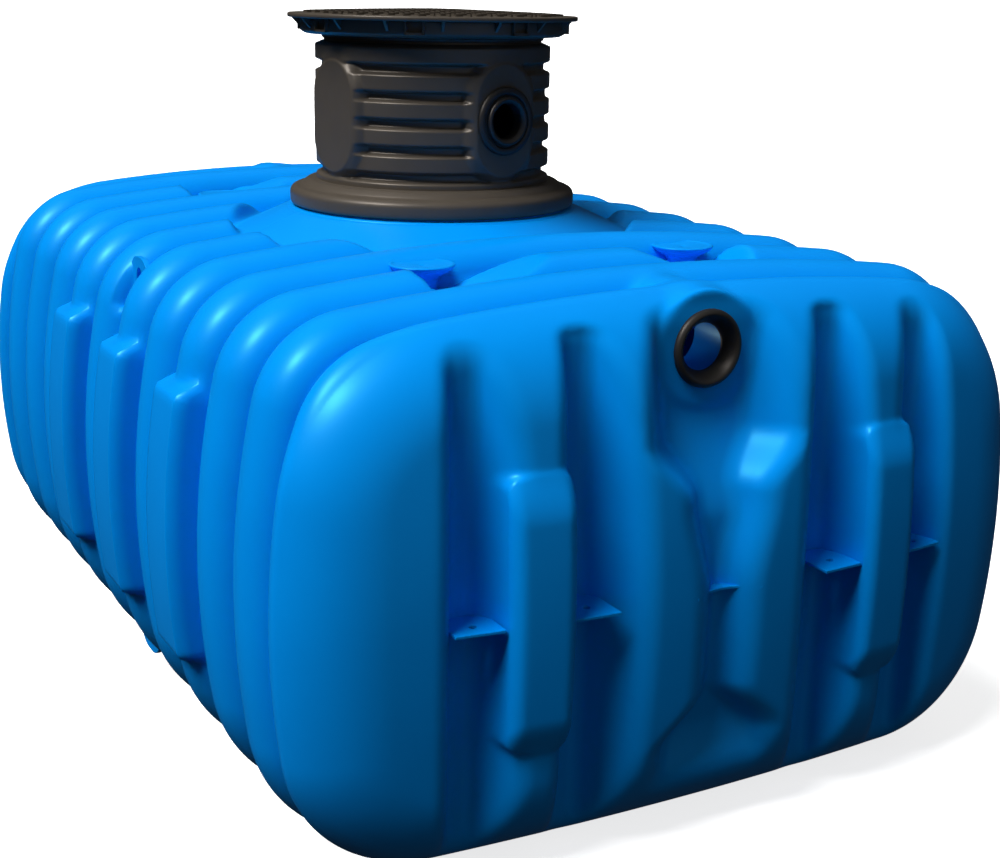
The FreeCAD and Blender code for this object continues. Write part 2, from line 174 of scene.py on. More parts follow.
# Injection-moulded polyethylene filled with carbon black: a warm and very dark grey, satin
BLACK_POLYETHYLENE = MouldedFinish(
    name="polyethylene_injection_moulded_black", colour="#4e473e", mottle_colour="#453f38", tint="#fff2e4",
    ior=1.52, roughness=0.43, gloss_spread=0.04, mottle_mm=60.0, skin_mm=3.0, skin_height_mm=0.1,
    skin_strength=0.3)

# Press-moulded EPDM: a dull black with a soft sheen on its rounded lips
EPDM_RUBBER = MouldedFinish(
    name="rubber_epdm_press_moulded", colour="#242322", mottle_colour="#1d1c1b", tint="#fff4ea", ior=1.5,
    roughness=0.48, gloss_spread=0.05, mottle_mm=25.0, skin_mm=1.5, skin_height_mm=0.05, skin_strength=0.3)

FINISHES = {Slot.TANK: BLUE_POLYETHYLENE, Slot.SHAFT: BLACK_POLYETHYLENE, Slot.SEAL: EPDM_RUBBER}


# Meshes

@dataclass
class Skin:
    """Points and faces of a mesh in the making."""

    points: Array
    faces: list[list[int]]

    def joined(self, *others: "Skin") -> "Skin":
        """Put skins side by side in one mesh.

        Args:
            others: skins to add.

        Returns:
            A skin that holds them all.
        """
        points, faces = [self.points], list(self.faces)
        start = len(self.points)
        for other in others:
            points.append(other.points)
            faces += [[start + at for at in face] for face in other.faces]
            start += len(other.points)
        return Skin(np.concatenate(points), faces)

    def placed(self, matrix: Array, offset: tuple[float, float, float] = (0.0, 0.0, 0.0)) -> "Skin":
        """Turn or mirror the skin about the origin, then move it.

        Args:
            matrix: three rows that the points are multiplied by.
            offset: move afterwards.

        Returns:
            The skin in its place, with its faces still turned outwards.
        """
        mirrored = np.linalg.det(matrix) < 0.0
        faces = [face[::-1] for face in self.faces] if mirrored else self.faces
        return Skin(self.points @ np.asarray(matrix).T + np.asarray(offset), faces)

    @classmethod
    def taken_from(cls, build: bmesh.types.BMesh) -> "Skin":
        """Take the skin out of a mesh that is built, with its faces turned outwards.

        Args:
            build: closed mesh, which is freed.

        Returns:
            Its points and faces.
        """
        bmesh.ops.recalc_face_normals(build, faces=build.faces[:])
        build.verts.index_update()
        points = np.array([vertex.co[:] for vertex in build.verts])
        faces = [[vertex.index for vertex in face.verts] for face in build.faces]
        build.free()
        return cls(points, faces)


def turn_z(angle: float) -> Array:
    """Matrix of a turn about the upright axis, in radians."""
    c, s = math.cos(angle), math.sin(angle)
    return np.array([[c, -s, 0.0], [s, c, 0.0], [0.0, 0.0, 1.0]])


def mirror(axis: int) -> Array:
    """Matrix of a mirror across the plane square to an axis."""
    return np.diag([-1.0 if at == axis else 1.0 for at in range(3)])


UPRIGHT_TO_FRONT = np.array([[1.0, 0.0, 0.0], [0.0, 0.0, -1.0], [0.0, 1.0, 0.0]])
UPRIGHT_TO_RIGHT = np.array([[0.0, 0.0, 1.0], [1.0, 0.0, 0.0], [0.0, 1.0, 0.0]])


def rounded(corners: list[tuple[float, float]], radius: float, steps: int = 4) -> Array:
    """Round the corners of a closed outline.

    Args:
        corners: corner points in order.
        radius: how far from a corner its rounding starts, at most EDGE_SHARE of an edge.
        steps: pieces of each rounding.

    Returns:
        Points of the rounded outline.
    """
    points = np.array(corners, float)
    share = np.linspace(0.0, 1.0, steps + 1)[:, None]
    outline = []
    for before, corner, after in zip(np.roll(points, 1, 0), points, np.roll(points, -1, 0)):
        ends = []
        for other in (before, after):
            length = np.linalg.norm(other - corner)
            ends.append(corner + (other - corner) * min(EDGE_SHARE, radius / max(length, 1e-9)))
        outline.append((1 - share) ** 2 * ends[0] + 2 * share * (1 - share) * corner + share ** 2 * ends[1])
    return np.concatenate(outline)


def lathe(profile: Array, segments: int) -> Skin:
    """Turn a closed profile about the upright axis.

    Args:
        profile: radius and height of each point, the outer side going up.
        segments: number of steps round.

    Returns:
        The turned skin.
    """
    turns = np.linspace(0.0, 2.0 * math.pi, segments, endpoint=False)[:, None]
    radius, height = profile[:, 0], np.broadcast_to(profile[:, 1], (segments, len(profile)))
    points = np.stack([radius * np.cos(turns), radius * np.sin(turns), height], axis=-1)
    number = np.arange(segments * len(profile)).reshape(segments, len(profile))
    ahead = np.roll(number, -1, 0)
    quads = np.stack([number, ahead, np.roll(ahead, -1, 1), np.roll(number, -1, 1)], axis=-1)
    return Skin(points.reshape(-1, 3), quads.reshape(-1, 4).tolist())


def cylinder(radius: float, low: float, high: float, segments: int) -> Skin:
    """Closed upright cylinder between two heights."""
    return lathe(np.array([[NEAR_AXIS, low], [radius, low], [radius, high], [NEAR_AXIS, high]]), segments)


def plate(outline: Array, holes: list[Array], low: float, high: float) -> Skin:
    """Flat plate with holes, square to the third axis.

    Args:
        outline: points round the plate.
        holes: points round each hole.
        low: lower face along the third axis.
        high: upper face along the third axis.

    Returns:
        The closed plate.
    """
    build = bmesh.new()
    edges = []
    for loop in [outline, *holes]:
        corners = [build.verts.new((u, v, low)) for u, v in loop]
        edges += [build.edges.new(pair) for pair in zip(corners, corners[1:] + corners[:1])]
    bmesh.ops.triangle_fill(build, use_beauty=True, edges=edges)
    lifted = bmesh.ops.extrude_face_region(build, geom=build.faces[:])["geom"]
    for vertex in (item for item in lifted if isinstance(item, bmesh.types.BMVert)):
        vertex.co.z = high
    return Skin.taken_from(build)


def box(low: tuple[float, float, float], high: tuple[float, float, float]) -> Skin:
    """Closed box between two corners."""
    outline = np.array([(low[0], low[1]), (high[0], low[1]), (high[0], high[1]), (low[0], high[1])])
    return plate(outline, [], low[2], high[2])


def circle(radius: float, count: int, centre: tuple[float, float] = (0.0, 0.0),
           stretch: float = 1.0) -> Array:
    """Work out the points of a circle, or of an oval stretched along the second axis.

    Args:
        radius: half its width along the first axis.
        count: number of points.
        centre: its middle.
        stretch: height for each width.

    Returns:
        Points in order.
    """
    turns = np.linspace(0.0, 2.0 * math.pi, count, endpoint=False)
    across, up = radius * np.cos(turns), stretch * radius * np.sin(turns)
    return np.stack([centre[0] + across, centre[1] + up], axis=-1)


def smooth_step(value: Array, low: float, high: float) -> Array:
    """Rise from none at low to one at high, without corners."""
    share = np.clip((value - low) / (high - low), 0.0, 1.0)
    return share * share * (3.0 - 2.0 * share)


def smooth_max(a: Array, b: Array, blend: float) -> Array:
    """Greater of two fields, with their meeting rounded over a blend length."""
    share = np.clip(0.5 + 0.5 * (a - b) / blend, 0.0, 1.0)
    return b + (a - b) * share + blend * share * (1.0 - share)


def smooth_min(a: Array, b: Array, blend: float) -> Array:
    """Lesser of two fields, with their meeting rounded over a blend length."""
    return -smooth_max(-a, -b, blend)


def round_overlap(radius: float, *fields: Array) -> Array:
    """Work out the common inside of distance fields, with its edges rounded.

    Args:
        radius: radius of the edges.
        fields: signed distances, negative inside.

    Returns:
        Signed distances of the common inside.
    """
    lifted = [np.maximum(f + radius, 0.0) for f in fields]
    deepest = np.maximum.reduce(fields)
    return np.minimum(deepest, -radius) + np.sqrt(sum(f * f for f in lifted))


class Workshop:
    """Turns skins to dressed pieces that ride on the tank's body."""

    def __init__(self) -> None:
        """Make the three finishes."""
        self.materials = {slot: finish.make() for slot, finish in FINISHES.items()}

    def add(self, name: str, skin: Skin, slot: Slot, nodes: list[str], crease: float = 180.0,
            bevel: float = 0.0) -> bpy.types.Object:
        """Make a piece of a skin.

        Args:
            name: name of the piece.
            skin: its mesh.
            slot: material slot it takes its finish from.
            nodes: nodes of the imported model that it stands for.
            crease: angle in degrees above which an edge stays sharp.
            bevel: width of the rounding of its edges.

        Returns:
            The piece.
        """
        mesh = bpy.data.meshes.new(name)
        mesh.from_pydata(skin.points.tolist(), [], skin.faces)
        mesh.validate()
        mesh.shade_smooth()
        if crease < 180.0:
            mesh.set_sharp_from_angle(angle=math.radians(crease))
        mesh.materials.append(self.materials[slot])
        piece = bpy.data.objects.new(name, mesh)
        bpy.context.scene.collection.objects.link(piece)
        if bevel:
            edge = piece.modifiers.new("moulded_edges", "BEVEL")
            edge.width, edge.segments, edge.limit_method = bevel, 2, "ANGLE"
        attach(piece, BODY)
        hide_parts(*nodes)
        log.info("%s: %d faces", name, len(mesh.polygons))
        return piece

    def cut(self, piece: bpy.types.Object, cutter: Skin) -> None:
        """Take a closed skin out of a piece.

        Args:
            piece: piece that is cut.
            cutter: what is taken away.
        """
        mesh = bpy.data.meshes.new("cutter")
        mesh.from_pydata(cutter.points.tolist(), [], cutter.faces)
        tool = bpy.data.objects.new("cutter", mesh)
        bpy.context.scene.collection.objects.link(tool)
        step = piece.modifiers.new("opening", "BOOLEAN")
        step.object, step.operation, step.solver = tool, "DIFFERENCE", "EXACT"
        graph = bpy.context.evaluated_depsgraph_get()
        opened = bpy.data.meshes.new_from_object(piece.evaluated_get(graph))
        piece.modifiers.remove(step)
        piece.data = opened
        bpy.data.objects.remove(tool)


# Shell

@dataclass
class Quarter:
    """Quarter of the tank's section: a crowned top, a round corner and a bowed side.

    Heights count outwards from the mid-plane.
    """

    half_width: float
    rise: float
    crown_radius: float
    corner_radius: float
    side_radius: float

    @property
    def side_centre(self) -> float:
        """Distance across of the bowed side's centre, on the other side of the middle."""
        return self.half_width - self.side_radius

    @property
    def crown_centre(self) -> float:
        """Height of the crown's centre, on the other side of the mid-plane."""
        return self.rise - self.crown_radius

    @property
    def corner(self) -> tuple[float, float]:
        """Work out the centre of the corner, which touches the crown and the side.

        Returns:
            Its distance across and its height.
        """
        to_crown, to_side = self.crown_radius - self.corner_radius, self.side_radius - self.corner_radius
        apart = math.hypot(self.side_centre, self.crown_centre)
        ux, uw = self.side_centre / apart, -self.crown_centre / apart
        along = (to_crown ** 2 - to_side ** 2 + apart ** 2) / (2.0 * apart)
        aside = math.sqrt(to_crown ** 2 - along ** 2)
        crossings = [(along * ux - turn * aside * uw, self.crown_centre + along * uw + turn * aside * ux)
                     for turn in (-1.0, 1.0)]
        return max(crossings, key=sum)

    @property
    def turns(self) -> tuple[float, float]:
        """Angles at which the corner leaves the crown and meets the side."""
        across, height = self.corner
        return (math.atan2(height - self.crown_centre, across), math.atan2(height, across - self.side_centre))

    def arc(self, steps: tuple[int, int, int]) -> tuple[Array, Array]:
        """Work out the outline from the middle of the crown to just before the widest point.

        Args:
            steps: number of points on the crown, the corner and the side.

        Returns:
            Points and outward normals.
        """
        first, last = self.turns
        stretches = (((0.0, self.crown_centre), self.crown_radius, math.pi / 2.0, first),
                     (self.corner, self.corner_radius, first, last),
                     ((self.side_centre, 0.0), self.side_radius, last, 0.0))
        points, normals = [], []
        for count, (centre, radius, start, stop) in zip(steps, stretches):
            turn = np.linspace(start, stop, count, endpoint=False)
            normals.append(np.stack([np.cos(turn), np.sin(turn)], -1))
            points.append(np.array(centre) + radius * normals[-1])
        return np.concatenate(points), np.concatenate(normals)

    def distance(self, across: Array, height: Array) -> Array:
        """Distance of places of this quarter outside its outline, negative inside.

        Args:
            across: distances from the middle.
            height: heights from the mid-plane.

        Returns:
            Signed distances.
        """
        dx, dw = across - self.corner[0], height - self.corner[1]
        turn = np.arctan2(dw, dx)
        top = np.hypot(across, height - self.crown_centre) - self.crown_radius
        side = np.hypot(across - self.side_centre, height) - self.side_radius
        at_corner = (turn <= self.turns[0]) & (turn >= self.turns[1])
        return np.where(at_corner, np.hypot(dx, dw) - self.corner_radius, np.maximum(top, side))


@dataclass
class Section:
    """Section of the tank on the crests of its hoops: a crowned top, round corners and bowed sides."""

    upper_corner: float = 0.235
    lower_corner: float = 0.333
    half_width: float = 0.990
    side_radius: float = 1.978
    middle: float = 0.5993
    roof_rise: float = 0.6708
    roof_radius: float = 6.22
    floor_radius: float = 30.0
    upper_steps: tuple[int, int, int] = (64, 44, 28)
    lower_steps: tuple[int, int, int] = (24, 40, 28)

    @property
    def upper(self) -> Quarter:
        """Quarter above the mid-plane."""
        return Quarter(self.half_width, self.roof_rise, self.roof_radius, self.upper_corner, self.side_radius)

    @property
    def lower(self) -> Quarter:
        """Quarter below the mid-plane."""
        return Quarter(self.half_width, self.middle, self.floor_radius, self.lower_corner, self.side_radius)

    def outline(self) -> tuple[Array, Array]:
        """Work out the closed outline, from the middle of the top towards the right.

        Returns:
            Points and outward normals, as distance across and height from the mid-plane.
        """
        loops = []
        widest = ((self.half_width, 0.0), (1.0, 0.0))
        arcs = zip(self.upper.arc(self.upper_steps), widest, self.lower.arc(self.lower_steps))
        for high, middle, low in arcs:
            right = np.concatenate([high, [middle], low[::-1] * (1.0, -1.0)])
            loops.append(np.concatenate([right, right[-2:0:-1] * (-1.0, 1.0)]))
        return loops[0], loops[1]

    def distance(self, across: Array, height: Array) -> Array:
        """Distance of places outside the outline, negative inside.

        Args:
            across: distances from the middle.
            height: heights from the mid-plane.

        Returns:
            Signed distances.
        """
        x = np.abs(across)
        return np.where(height >= 0.0, self.upper.distance(x, height), self.lower.distance(x, -height))


@dataclass
class Barrel:
    """Ribbed middle of the tank, moulded in one with side blocks, lifting pockets, saddles and cone."""

    section: Section
    hoops_each_half: int = 5
    hoop_pitch: float = 0.240
    hoop_depth: float = 0.090
    hoop_half: float = 0.095
    rows_each_hoop: int = 34
    row_evenness: float = 0.55
    wall: float = 0.130
    block_hoops: tuple[float, ...] = (-0.60, -0.12, 0.36)
    block_half: float = 0.075
    block_wall: float = 0.022
    block_rise: float = 0.026
    block_top: float = 0.440
    block_top_slope: float = 0.075
    block_foot: float = 0.325
    block_foot_slope: float = 0.060
    block_blend: float = 0.012
    cone_foot: float = 0.530
    cone_foot_height: float = 1.222
    cone_top: float = 0.412
    cone_top_height: float = 1.274
    cone_blend: float = 0.014
    roof_lean: float = 0.8
    hoop_nose: float = 0.050
    opening_radius: float = 0.362
    opening_heights: tuple[float, float] = (1.0, 1.4)
    opening_segments: int = 96
    inlet_height: float = 1.1297
    saddle_radius: float = 0.130
    saddle_end: float = 1.060
    saddle_nose: float = 0.050
    pad_across: float = 0.376
    pad_along: float = 0.705
    pad_radius: float = 0.082
    pocket_along: float = 0.800
    pocket_half: float = 0.110
    pocket_wall: float = 0.030
    pocket_reach: float = 0.120
    pocket_floor: float = 0.095
    pocket_cover: float = 0.55
    pocket_outer_slope: float = 2.0
    pocket_blend: float = 0.010
    eye_plane: float = 0.852
    eye_floor: float = 0.436
    eye_half: float = 0.062
    eye_shift: float = 0.012
    eye_edges: tuple[float, float] = (0.008, 0.012)
    eye_blend: float = 0.02
    eye_rise: float = 0.8

    @property
    def half_length(self) -> float:
        """Distance of the last valley from the middle."""
        return self.hoops_each_half * self.hoop_pitch

    def rows(self) -> Array:
        """Distances along the rear half, closer together in the valleys.

        Returns:
            Distances from the middle of the tank.
        """
        share = np.linspace(-1.0, 1.0, self.rows_each_hoop + 1)
        dense = np.sin(share * math.pi / 2.0)
        along = 0.5 * (self.row_evenness * share + (1.0 - self.row_evenness) * dense) * self.hoop_pitch
        hoops = [(number + 0.5) * self.hoop_pitch + along[:-1] for number in range(self.hoops_each_half)]
        return np.append(np.concatenate(hoops), self.half_length)

    def hoop_height(self, y: Array) -> Array:
        """Height of the hoops over the crest line, never above it."""
        return self.arch(self.hoop_pitch * ((y / self.hoop_pitch) % 1.0 - 0.5))

    def arch(self, off: Array) -> Array:
        """Height of one hoop by the distance from its crest: a full arch between narrow valleys."""
        return -self.hoop_depth * (1.0 - np.sqrt(np.maximum(1.0 - (off / self.hoop_half) ** 2, 0.0)))

    def block_height(self, x: Array, w: Array, y: Array) -> Array:
        """Work out the height of the side blocks over the crest line.

        Args:
            x: distance across of each place on the outline.
            w: its height from the mid-plane.
            y: distances along the tank.

        Returns:
            Heights, far below the hoops where there is no block.
        """
        top = (self.block_top - w) / self.block_top_slope
        foot = (w + self.block_foot) / self.block_foot_slope
        ramp = np.clip(np.minimum(top, foot), -1.0, 1.0)
        fall = self.hoop_depth + self.block_rise
        height = np.full(np.broadcast(x, y).shape, -FAR)
        for hoop in self.block_hoops:
            centre = np.where(x < 0.0, hoop, -hoop)
            wall = np.maximum(np.abs(y - centre) - self.block_half, 0.0) / self.block_wall
            height = np.maximum(height, self.block_rise - fall * (1.0 - ramp) - fall * wall)
        return np.where(np.abs(x) > self.section.upper.corner[0], height, -FAR)

    def roof_height(self, x: Array, w: Array, nw: Array, y: Array) -> Array:
        """Work out the height of the neck's cone and the inlet saddles over the roof's crest line.

        Args:
            x: distance across of each place on the outline.
            w: its height from the mid-plane.
            nw: upward share of the normal there.
            y: distances along the tank.

        Returns:
            Heights, far below the hoops where there is neither.
        """
        slope = (self.cone_top_height - self.cone_foot_height) / (self.cone_foot - self.cone_top)
        cone = self.cone_top_height - slope * np.maximum(np.hypot(x, y) - self.cone_top, 0.0)
        nose = np.maximum(self.saddle_end - np.abs(y), 0.0) * (self.saddle_radius / self.saddle_nose)
        span = self.saddle_radius ** 2 - x ** 2 - nose ** 2
        saddle = np.where(span > 0.0, self.inlet_height + np.sqrt(np.maximum(span, 0.0)), 0.0)
        over = (np.maximum(cone, saddle) - self.section.middle - w) / np.maximum(nw, self.roof_lean)
        return np.where((w > 0.0) & (nw > self.roof_lean), over, -FAR)

    def hoop_ends(self, x: Array, w: Array, y: Array, height: Array) -> Array:
        """Let the hoops of the roof end in round noses in front of the neck's cone."""
        nose = smooth_step(np.hypot(x, y), self.cone_foot, self.cone_foot + self.hoop_nose)
        return np.where(w > 0.0, (height + self.hoop_depth) * nose - self.hoop_depth, height)

    def pad_pocket(self, x: Array, w: Array, y: Array) -> Array:
        """Work out the floor of the pockets round the pads, which run out towards the middle.

        Args:
            x: distance across of each place on the outline.
            w: its height from the mid-plane.
            y: distances along the tank.

        Returns:
            Heights over the crest line, far above it below the mid-plane.
        """
        taper = np.clip((np.abs(x) - self.pocket_reach) / (self.pad_across - self.pocket_reach), 0.0, 1.0)
        outer = np.maximum(np.abs(x) - self.pad_across - self.pocket_cover * self.pad_radius, 0.0)
        along = np.maximum(np.abs(np.abs(y) - self.pocket_along) - self.pocket_half, 0.0)
        floor = self.pocket_outer_slope * outer - self.pocket_floor * taper
        floor = floor + self.pocket_floor / self.pocket_wall * along
        return np.where(w > 0.0, floor, FAR)

    def eye_pocket(self, x: Array, w: Array, nx: Array, nw: Array, y: Array, height: Array) -> Array:
        """Cut the flat pockets behind the lifting eyes out of the hoops beside the middle valley.

        Args:
            x: distance across of each place on the outline.
            w: its height from the mid-plane.
            nx: sideways share of the normal there.
            nw: upward share of the normal there.
            y: distances along the tank.
            height: heights over the crest line so far.

        Returns:
            Heights with the pockets cut.
        """
        face = (self.eye_plane - np.abs(x)) / np.maximum(np.abs(nx), LEAST_SLOPE)
        floor = (self.eye_floor - np.abs(w)) / np.maximum(np.abs(nw), LEAST_SLOPE)
        pocket = np.maximum(smooth_max(face, floor, self.eye_blend), -2.0 * self.hoop_depth)
        shift = np.where(x < 0.0, -self.eye_shift, self.eye_shift)
        start, stop = self.eye_half - self.eye_edges[0], self.eye_half + self.eye_edges[1]
        inside = 1.0 - smooth_step(np.abs(y - shift), start, stop)
        across, rise = self.section.upper.corner
        at_corner = (np.abs(x) > across) & (w > self.eye_rise * rise)
        return np.where(at_corner, height - inside * np.maximum(height - pocket, 0.0), height)

    def half_skin(self, end: End) -> Skin:
        """Model one half of the barrel as a closed shell, hoops outside and plain inside.

        Args:
            end: the half.

        Returns:
            The shell of that half.
        """
        outline, normals = self.section.outline()
        x, w, nx, nw = outline[:, :1], outline[:, 1:], normals[:, :1], normals[:, 1:]
        y = (end.value * self.rows())[None, :]
        height = np.broadcast_to(self.hoop_height(y), (len(outline), y.shape[1]))
        height = self.hoop_ends(x, w, y, height)
        height = smooth_min(height, self.pad_pocket(x, w, y), self.pocket_blend)
        height = smooth_max(height, self.block_height(x, w, y), self.block_blend)
        height = smooth_max(height, self.roof_height(x, w, nw, y), self.cone_blend)
        height = self.eye_pocket(x, w, nx, nw, y, height)
        outer = np.stack([x + nx * height, np.broadcast_to(y, height.shape),
                          self.section.middle + w + nw * height], -1)
        ends = y[0, [0, -1]]
        inner = np.stack([np.repeat(x - nx * self.wall, 2, 1), np.broadcast_to(ends, (len(x), 2)),
                          np.repeat(self.section.middle + w - nw * self.wall, 2, 1)], -1)
        return self.closed(outer, inner, flipped=end is End.FRONT)

    @staticmethod
    def closed(outer: Array, inner: Array, flipped: bool) -> Skin:
        """Join an outer and an inner grid round the tank at their edges.

        Args:
            outer: points round and along the outside.
            inner: points round the inside, at its two edges only.
            flipped: true if the rows run the other way.

        Returns:
            A closed skin.
        """
        around, rows = outer.shape[:2]
        out = np.arange(around * rows).reshape(around, rows)
        back = around * rows + np.arange(around * 2).reshape(around, 2)
        strips = [(out[:, :-1], out[:, 1:]), (back[:, 1:], back[:, :1]),
                  (back[:, :1], out[:, :1]), (out[:, -1:], back[:, 1:])]
        quads = []
        for first, second in strips:
            ahead = [np.roll(part, -1, 0) for part in (first, second)]
            quads.append(np.stack([first, second, ahead[1], ahead[0]], -1).reshape(-1, 4))
        faces = np.concatenate(quads)
        faces = faces[:, ::-1] if flipped else faces
        return Skin(np.concatenate([outer.reshape(-1, 3), inner.reshape(-1, 3)]), faces.tolist())

    def build(self, shop: Workshop) -> None:
        """Make both halves and open the roof under the shaft.

        Args:
            shop: workshop that makes the pieces.
        """
        shared = ["left_wall", "right_wall", "floor", "left_blocks", "right_blocks"]
        own = ["roof", "upper_flanks", "upper_shoulders", "lower_flanks", "lower_shoulders", "inlet_saddle"]
        opening = cylinder(self.opening_radius, *self.opening_heights, self.opening_segments)
        for end in End:
            nodes = shared + ["%s_%s" % (end.label, name) for name in own]
            piece = shop.add("%s_barrel" % end.label, self.half_skin(end), Slot.TANK, nodes)
            shop.cut(piece, opening)


@dataclass
class BulgedEnd:
    """Bulged end of the tank, modelled as a field of distances that is then wrapped in a skin."""

    section: Section
    barrel: Barrel
    voxel: float = 0.008
    tip: float = 1.480
    bow_plan: float = 0.1065
    bow_rise: float = 0.1764
    bow_fall: float = 0.125
    crest: float = 0.080
    shoulder: float = 1.195
    sharpest: float = 0.050
    own_upper: float = 0.420
    own_lower: float = 0.365
    own_half_width: float = 1.004
    own_rise: float = 0.674
    # Distances across of the inner and outer foot of each pair's walls
    grooves: tuple[tuple[float, float], ...] = ((0.300, 0.362), (0.565, 0.628))
    groove_floor: float = 1.338
    groove_drafts: tuple[float, float] = (0.65, 0.38)
    groove_top: float = 0.600
    groove_depth: float = 0.065
    groove_foot: tuple[float, float] = (0.300, 0.540)
    groove_fade: tuple[float, float] = (0.44, 0.60)
    groove_fade_share: float = 0.5
    groove_edge: float = 0.018
    groove_blend: float = 0.032
    waist: float = 0.062
    waist_slope: float = 0.045
    waist_rows: tuple[float, float] = (0.0, 0.24)
    step_rows: tuple[float, float] = (0.22, 0.36)
    recess_rows: tuple[float, float] = (0.16, 0.40)
    recess_step: float = 0.093
    foot_step: float = 0.100
    centre_draft: float = 0.80
    centre_edge: float = 0.02
    recess_floor: float = 1.338
    # Inner side, outer side, depth below and height above the mid-plane of each pair
    blocks: tuple[tuple[float, float, float, float], ...] = ((0.388, 0.535, 0.275, 0.325),)
    block_rise: float = 0.024
    # Slope of a block's top and of its foot, and the length that turns each to a distance
    block_shoulders: tuple[tuple[float, float], ...] = ((1.6, 1.89), (1.2, 1.56))
    block_edge: float = 0.030
    block_blend: float = 0.02
    boss_edge: float = 0.01
    boss_blend: float = 0.02
    bore: float = 0.069
    hollow_depth: float = 0.128
    hollow_half_width: float = 0.86
    hollow_foot: float = 0.13
    hollow_top: float = 1.00
    hollow_corner: float = 0.22
    # Half width, depth below and height above the mid-plane of the space that the field fills
    reach: tuple[float, float, float] = (1.02, 0.64, 0.70)
    margin: float = 0.05
    pulls: int = 4
    probe: float = 0.25

    @property
    def inlet_height(self) -> float:
        """Height of the inlet's axis over the mid-plane."""
        return self.barrel.inlet_height - self.section.middle

    def bow(self, x: Array, w: Array) -> Array:
        """Distance of the plain bowed face from the middle of the tank."""
        return self.tip - self.bow_plan * x ** 2 - np.where(w > 0.0, self.bow_rise, self.bow_fall) * w ** 2

    def body(self, x: Array, q: Array, w: Array) -> Array:
        """Work out the end before its grooves, which runs into the last valley and has rounder corners.

        Args:
            x: distance across of each place.
            q: its distance from the middle of the tank.
            w: its height from the mid-plane.

        Returns:
            Signed distances, negative inside.
        """
        short = np.clip((self.barrel.half_length + self.crest - q) / self.crest, 0.0, 1.0)
        own = Section(self.own_upper, self.own_lower, self.own_half_width, roof_rise=self.own_rise)
        side = self.section.distance(x, w) * short + own.distance(x, w) * (1.0 - short)
        side = side - self.barrel.arch(short * self.barrel.hoop_half)
        face = self.bow(x, w)
        lean = np.sqrt(1.0 + (2.0 * self.bow_plan * x) ** 2 + (2.0 * self.bow_rise * w) ** 2)
        return round_overlap(np.maximum(face - self.shoulder, self.sharpest), side, (q - face) / lean)

    def depth(self, w: Array) -> Array:
        """Depth of the middle groove, which runs out at the foot and grows shallow at the top."""
        fade = 1.0 - self.groove_fade_share * smooth_step(w, *self.groove_fade)
        return self.groove_depth * (1.0 - smooth_step(-w, *self.groove_foot)) * fade

    def centre_groove(self, x: Array, q: Array, w: Array) -> Array:
        """Work out the middle groove: wide round the inlet, narrow at its waist, wide again at the foot.

        Args:
            x: distance across of each place.
            q: its distance from the middle of the tank.
            w: its height from the mid-plane.

        Returns:
            Signed distances, negative inside.
        """
        half = self.waist + self.waist_slope * smooth_step(w, *self.waist_rows)
        half = half + self.recess_step * smooth_step(w, *self.step_rows)
        half = half + self.foot_step * smooth_step(-w, *self.step_rows)
        face = self.bow(x, w)
        floor = face - self.depth(w)
        floor = floor - (floor - self.recess_floor) * smooth_step(w, *self.recess_rows)
        wall = np.abs(x) - half - self.centre_draft * (q - face)
        return round_overlap(self.centre_edge, wall / math.hypot(1.0, self.centre_draft), floor - q)

    def side_groove(self, groove: tuple[float, float], x: Array, q: Array, w: Array) -> Array:
        """Work out one pair of side grooves, whose flat floor runs out where the end curves away.

        Args:
            groove: distances across of the inner and outer foot of its walls.
            x: distance across of each place.
            q: its distance from the middle of the tank.
            w: its height from the mid-plane.

        Returns:
            Signed distances, negative inside.
        """
        near, far = groove
        inner, outer = self.groove_drafts
        over = q - self.groove_floor
        slope = (near - np.abs(x) - inner * over) / math.hypot(1.0, inner)
        steep = (np.abs(x) - far - outer * over) / math.hypot(1.0, outer)
        return round_overlap(self.groove_edge, np.maximum(slope, steep), -over, w - self.groove_top)

    def raised_block(self, block: tuple[float, float, float, float], x: Array, q: Array, w: Array) -> Array:
        """Work out one pair of raised blocks with sloped shoulders and well rounded sides.

        Args:
            block: inner side, outer side, depth below and height above the mid-plane.
            x: distance across of each place.
            q: its distance from the middle of the tank.
            w: its height from the mid-plane.

        Returns:
            Signed distances, negative inside.
        """
        near, far, foot, top = block
        (top_slope, top_length), (foot_slope, foot_length) = self.block_shoulders
        centre, half = (near + far) / 2.0, (far - near) / 2.0
        over = q - self.bow(x, w)
        upper = np.maximum((w - top + top_slope * over) / top_length, w - top)
        lower = np.maximum((-foot - w + foot_slope * over) / foot_length, -foot - w)
        side = np.abs(np.abs(x) - centre) - half
        return round_overlap(self.block_edge, side, over - self.block_rise, upper, lower)

    def field(self, places: Array) -> Array:
        """Field of the whole end.

        Args:
            places: distance across, distance from the middle and height from the mid-plane, on the last axis.

        Returns:
            Signed distances, negative inside.
        """
        x, q, w = places[..., 0], places[..., 1], places[..., 2]
        shape = self.body(x, q, w)
        for groove in self.grooves:
            shape = smooth_max(shape, -self.side_groove(groove, x, q, w), self.groove_blend)
        for block in self.blocks:
            shape = smooth_min(shape, self.raised_block(block, x, q, w), self.block_blend)
        shape = smooth_max(shape, -self.centre_groove(x, q, w), self.groove_blend)
        axis = np.hypot(x, w - self.inlet_height)
        boss = round_overlap(self.boss_edge, axis - self.barrel.saddle_radius, q - self.recess_floor)
        shape = smooth_min(shape, boss, self.boss_blend)
        return np.maximum(shape, self.bore - axis)

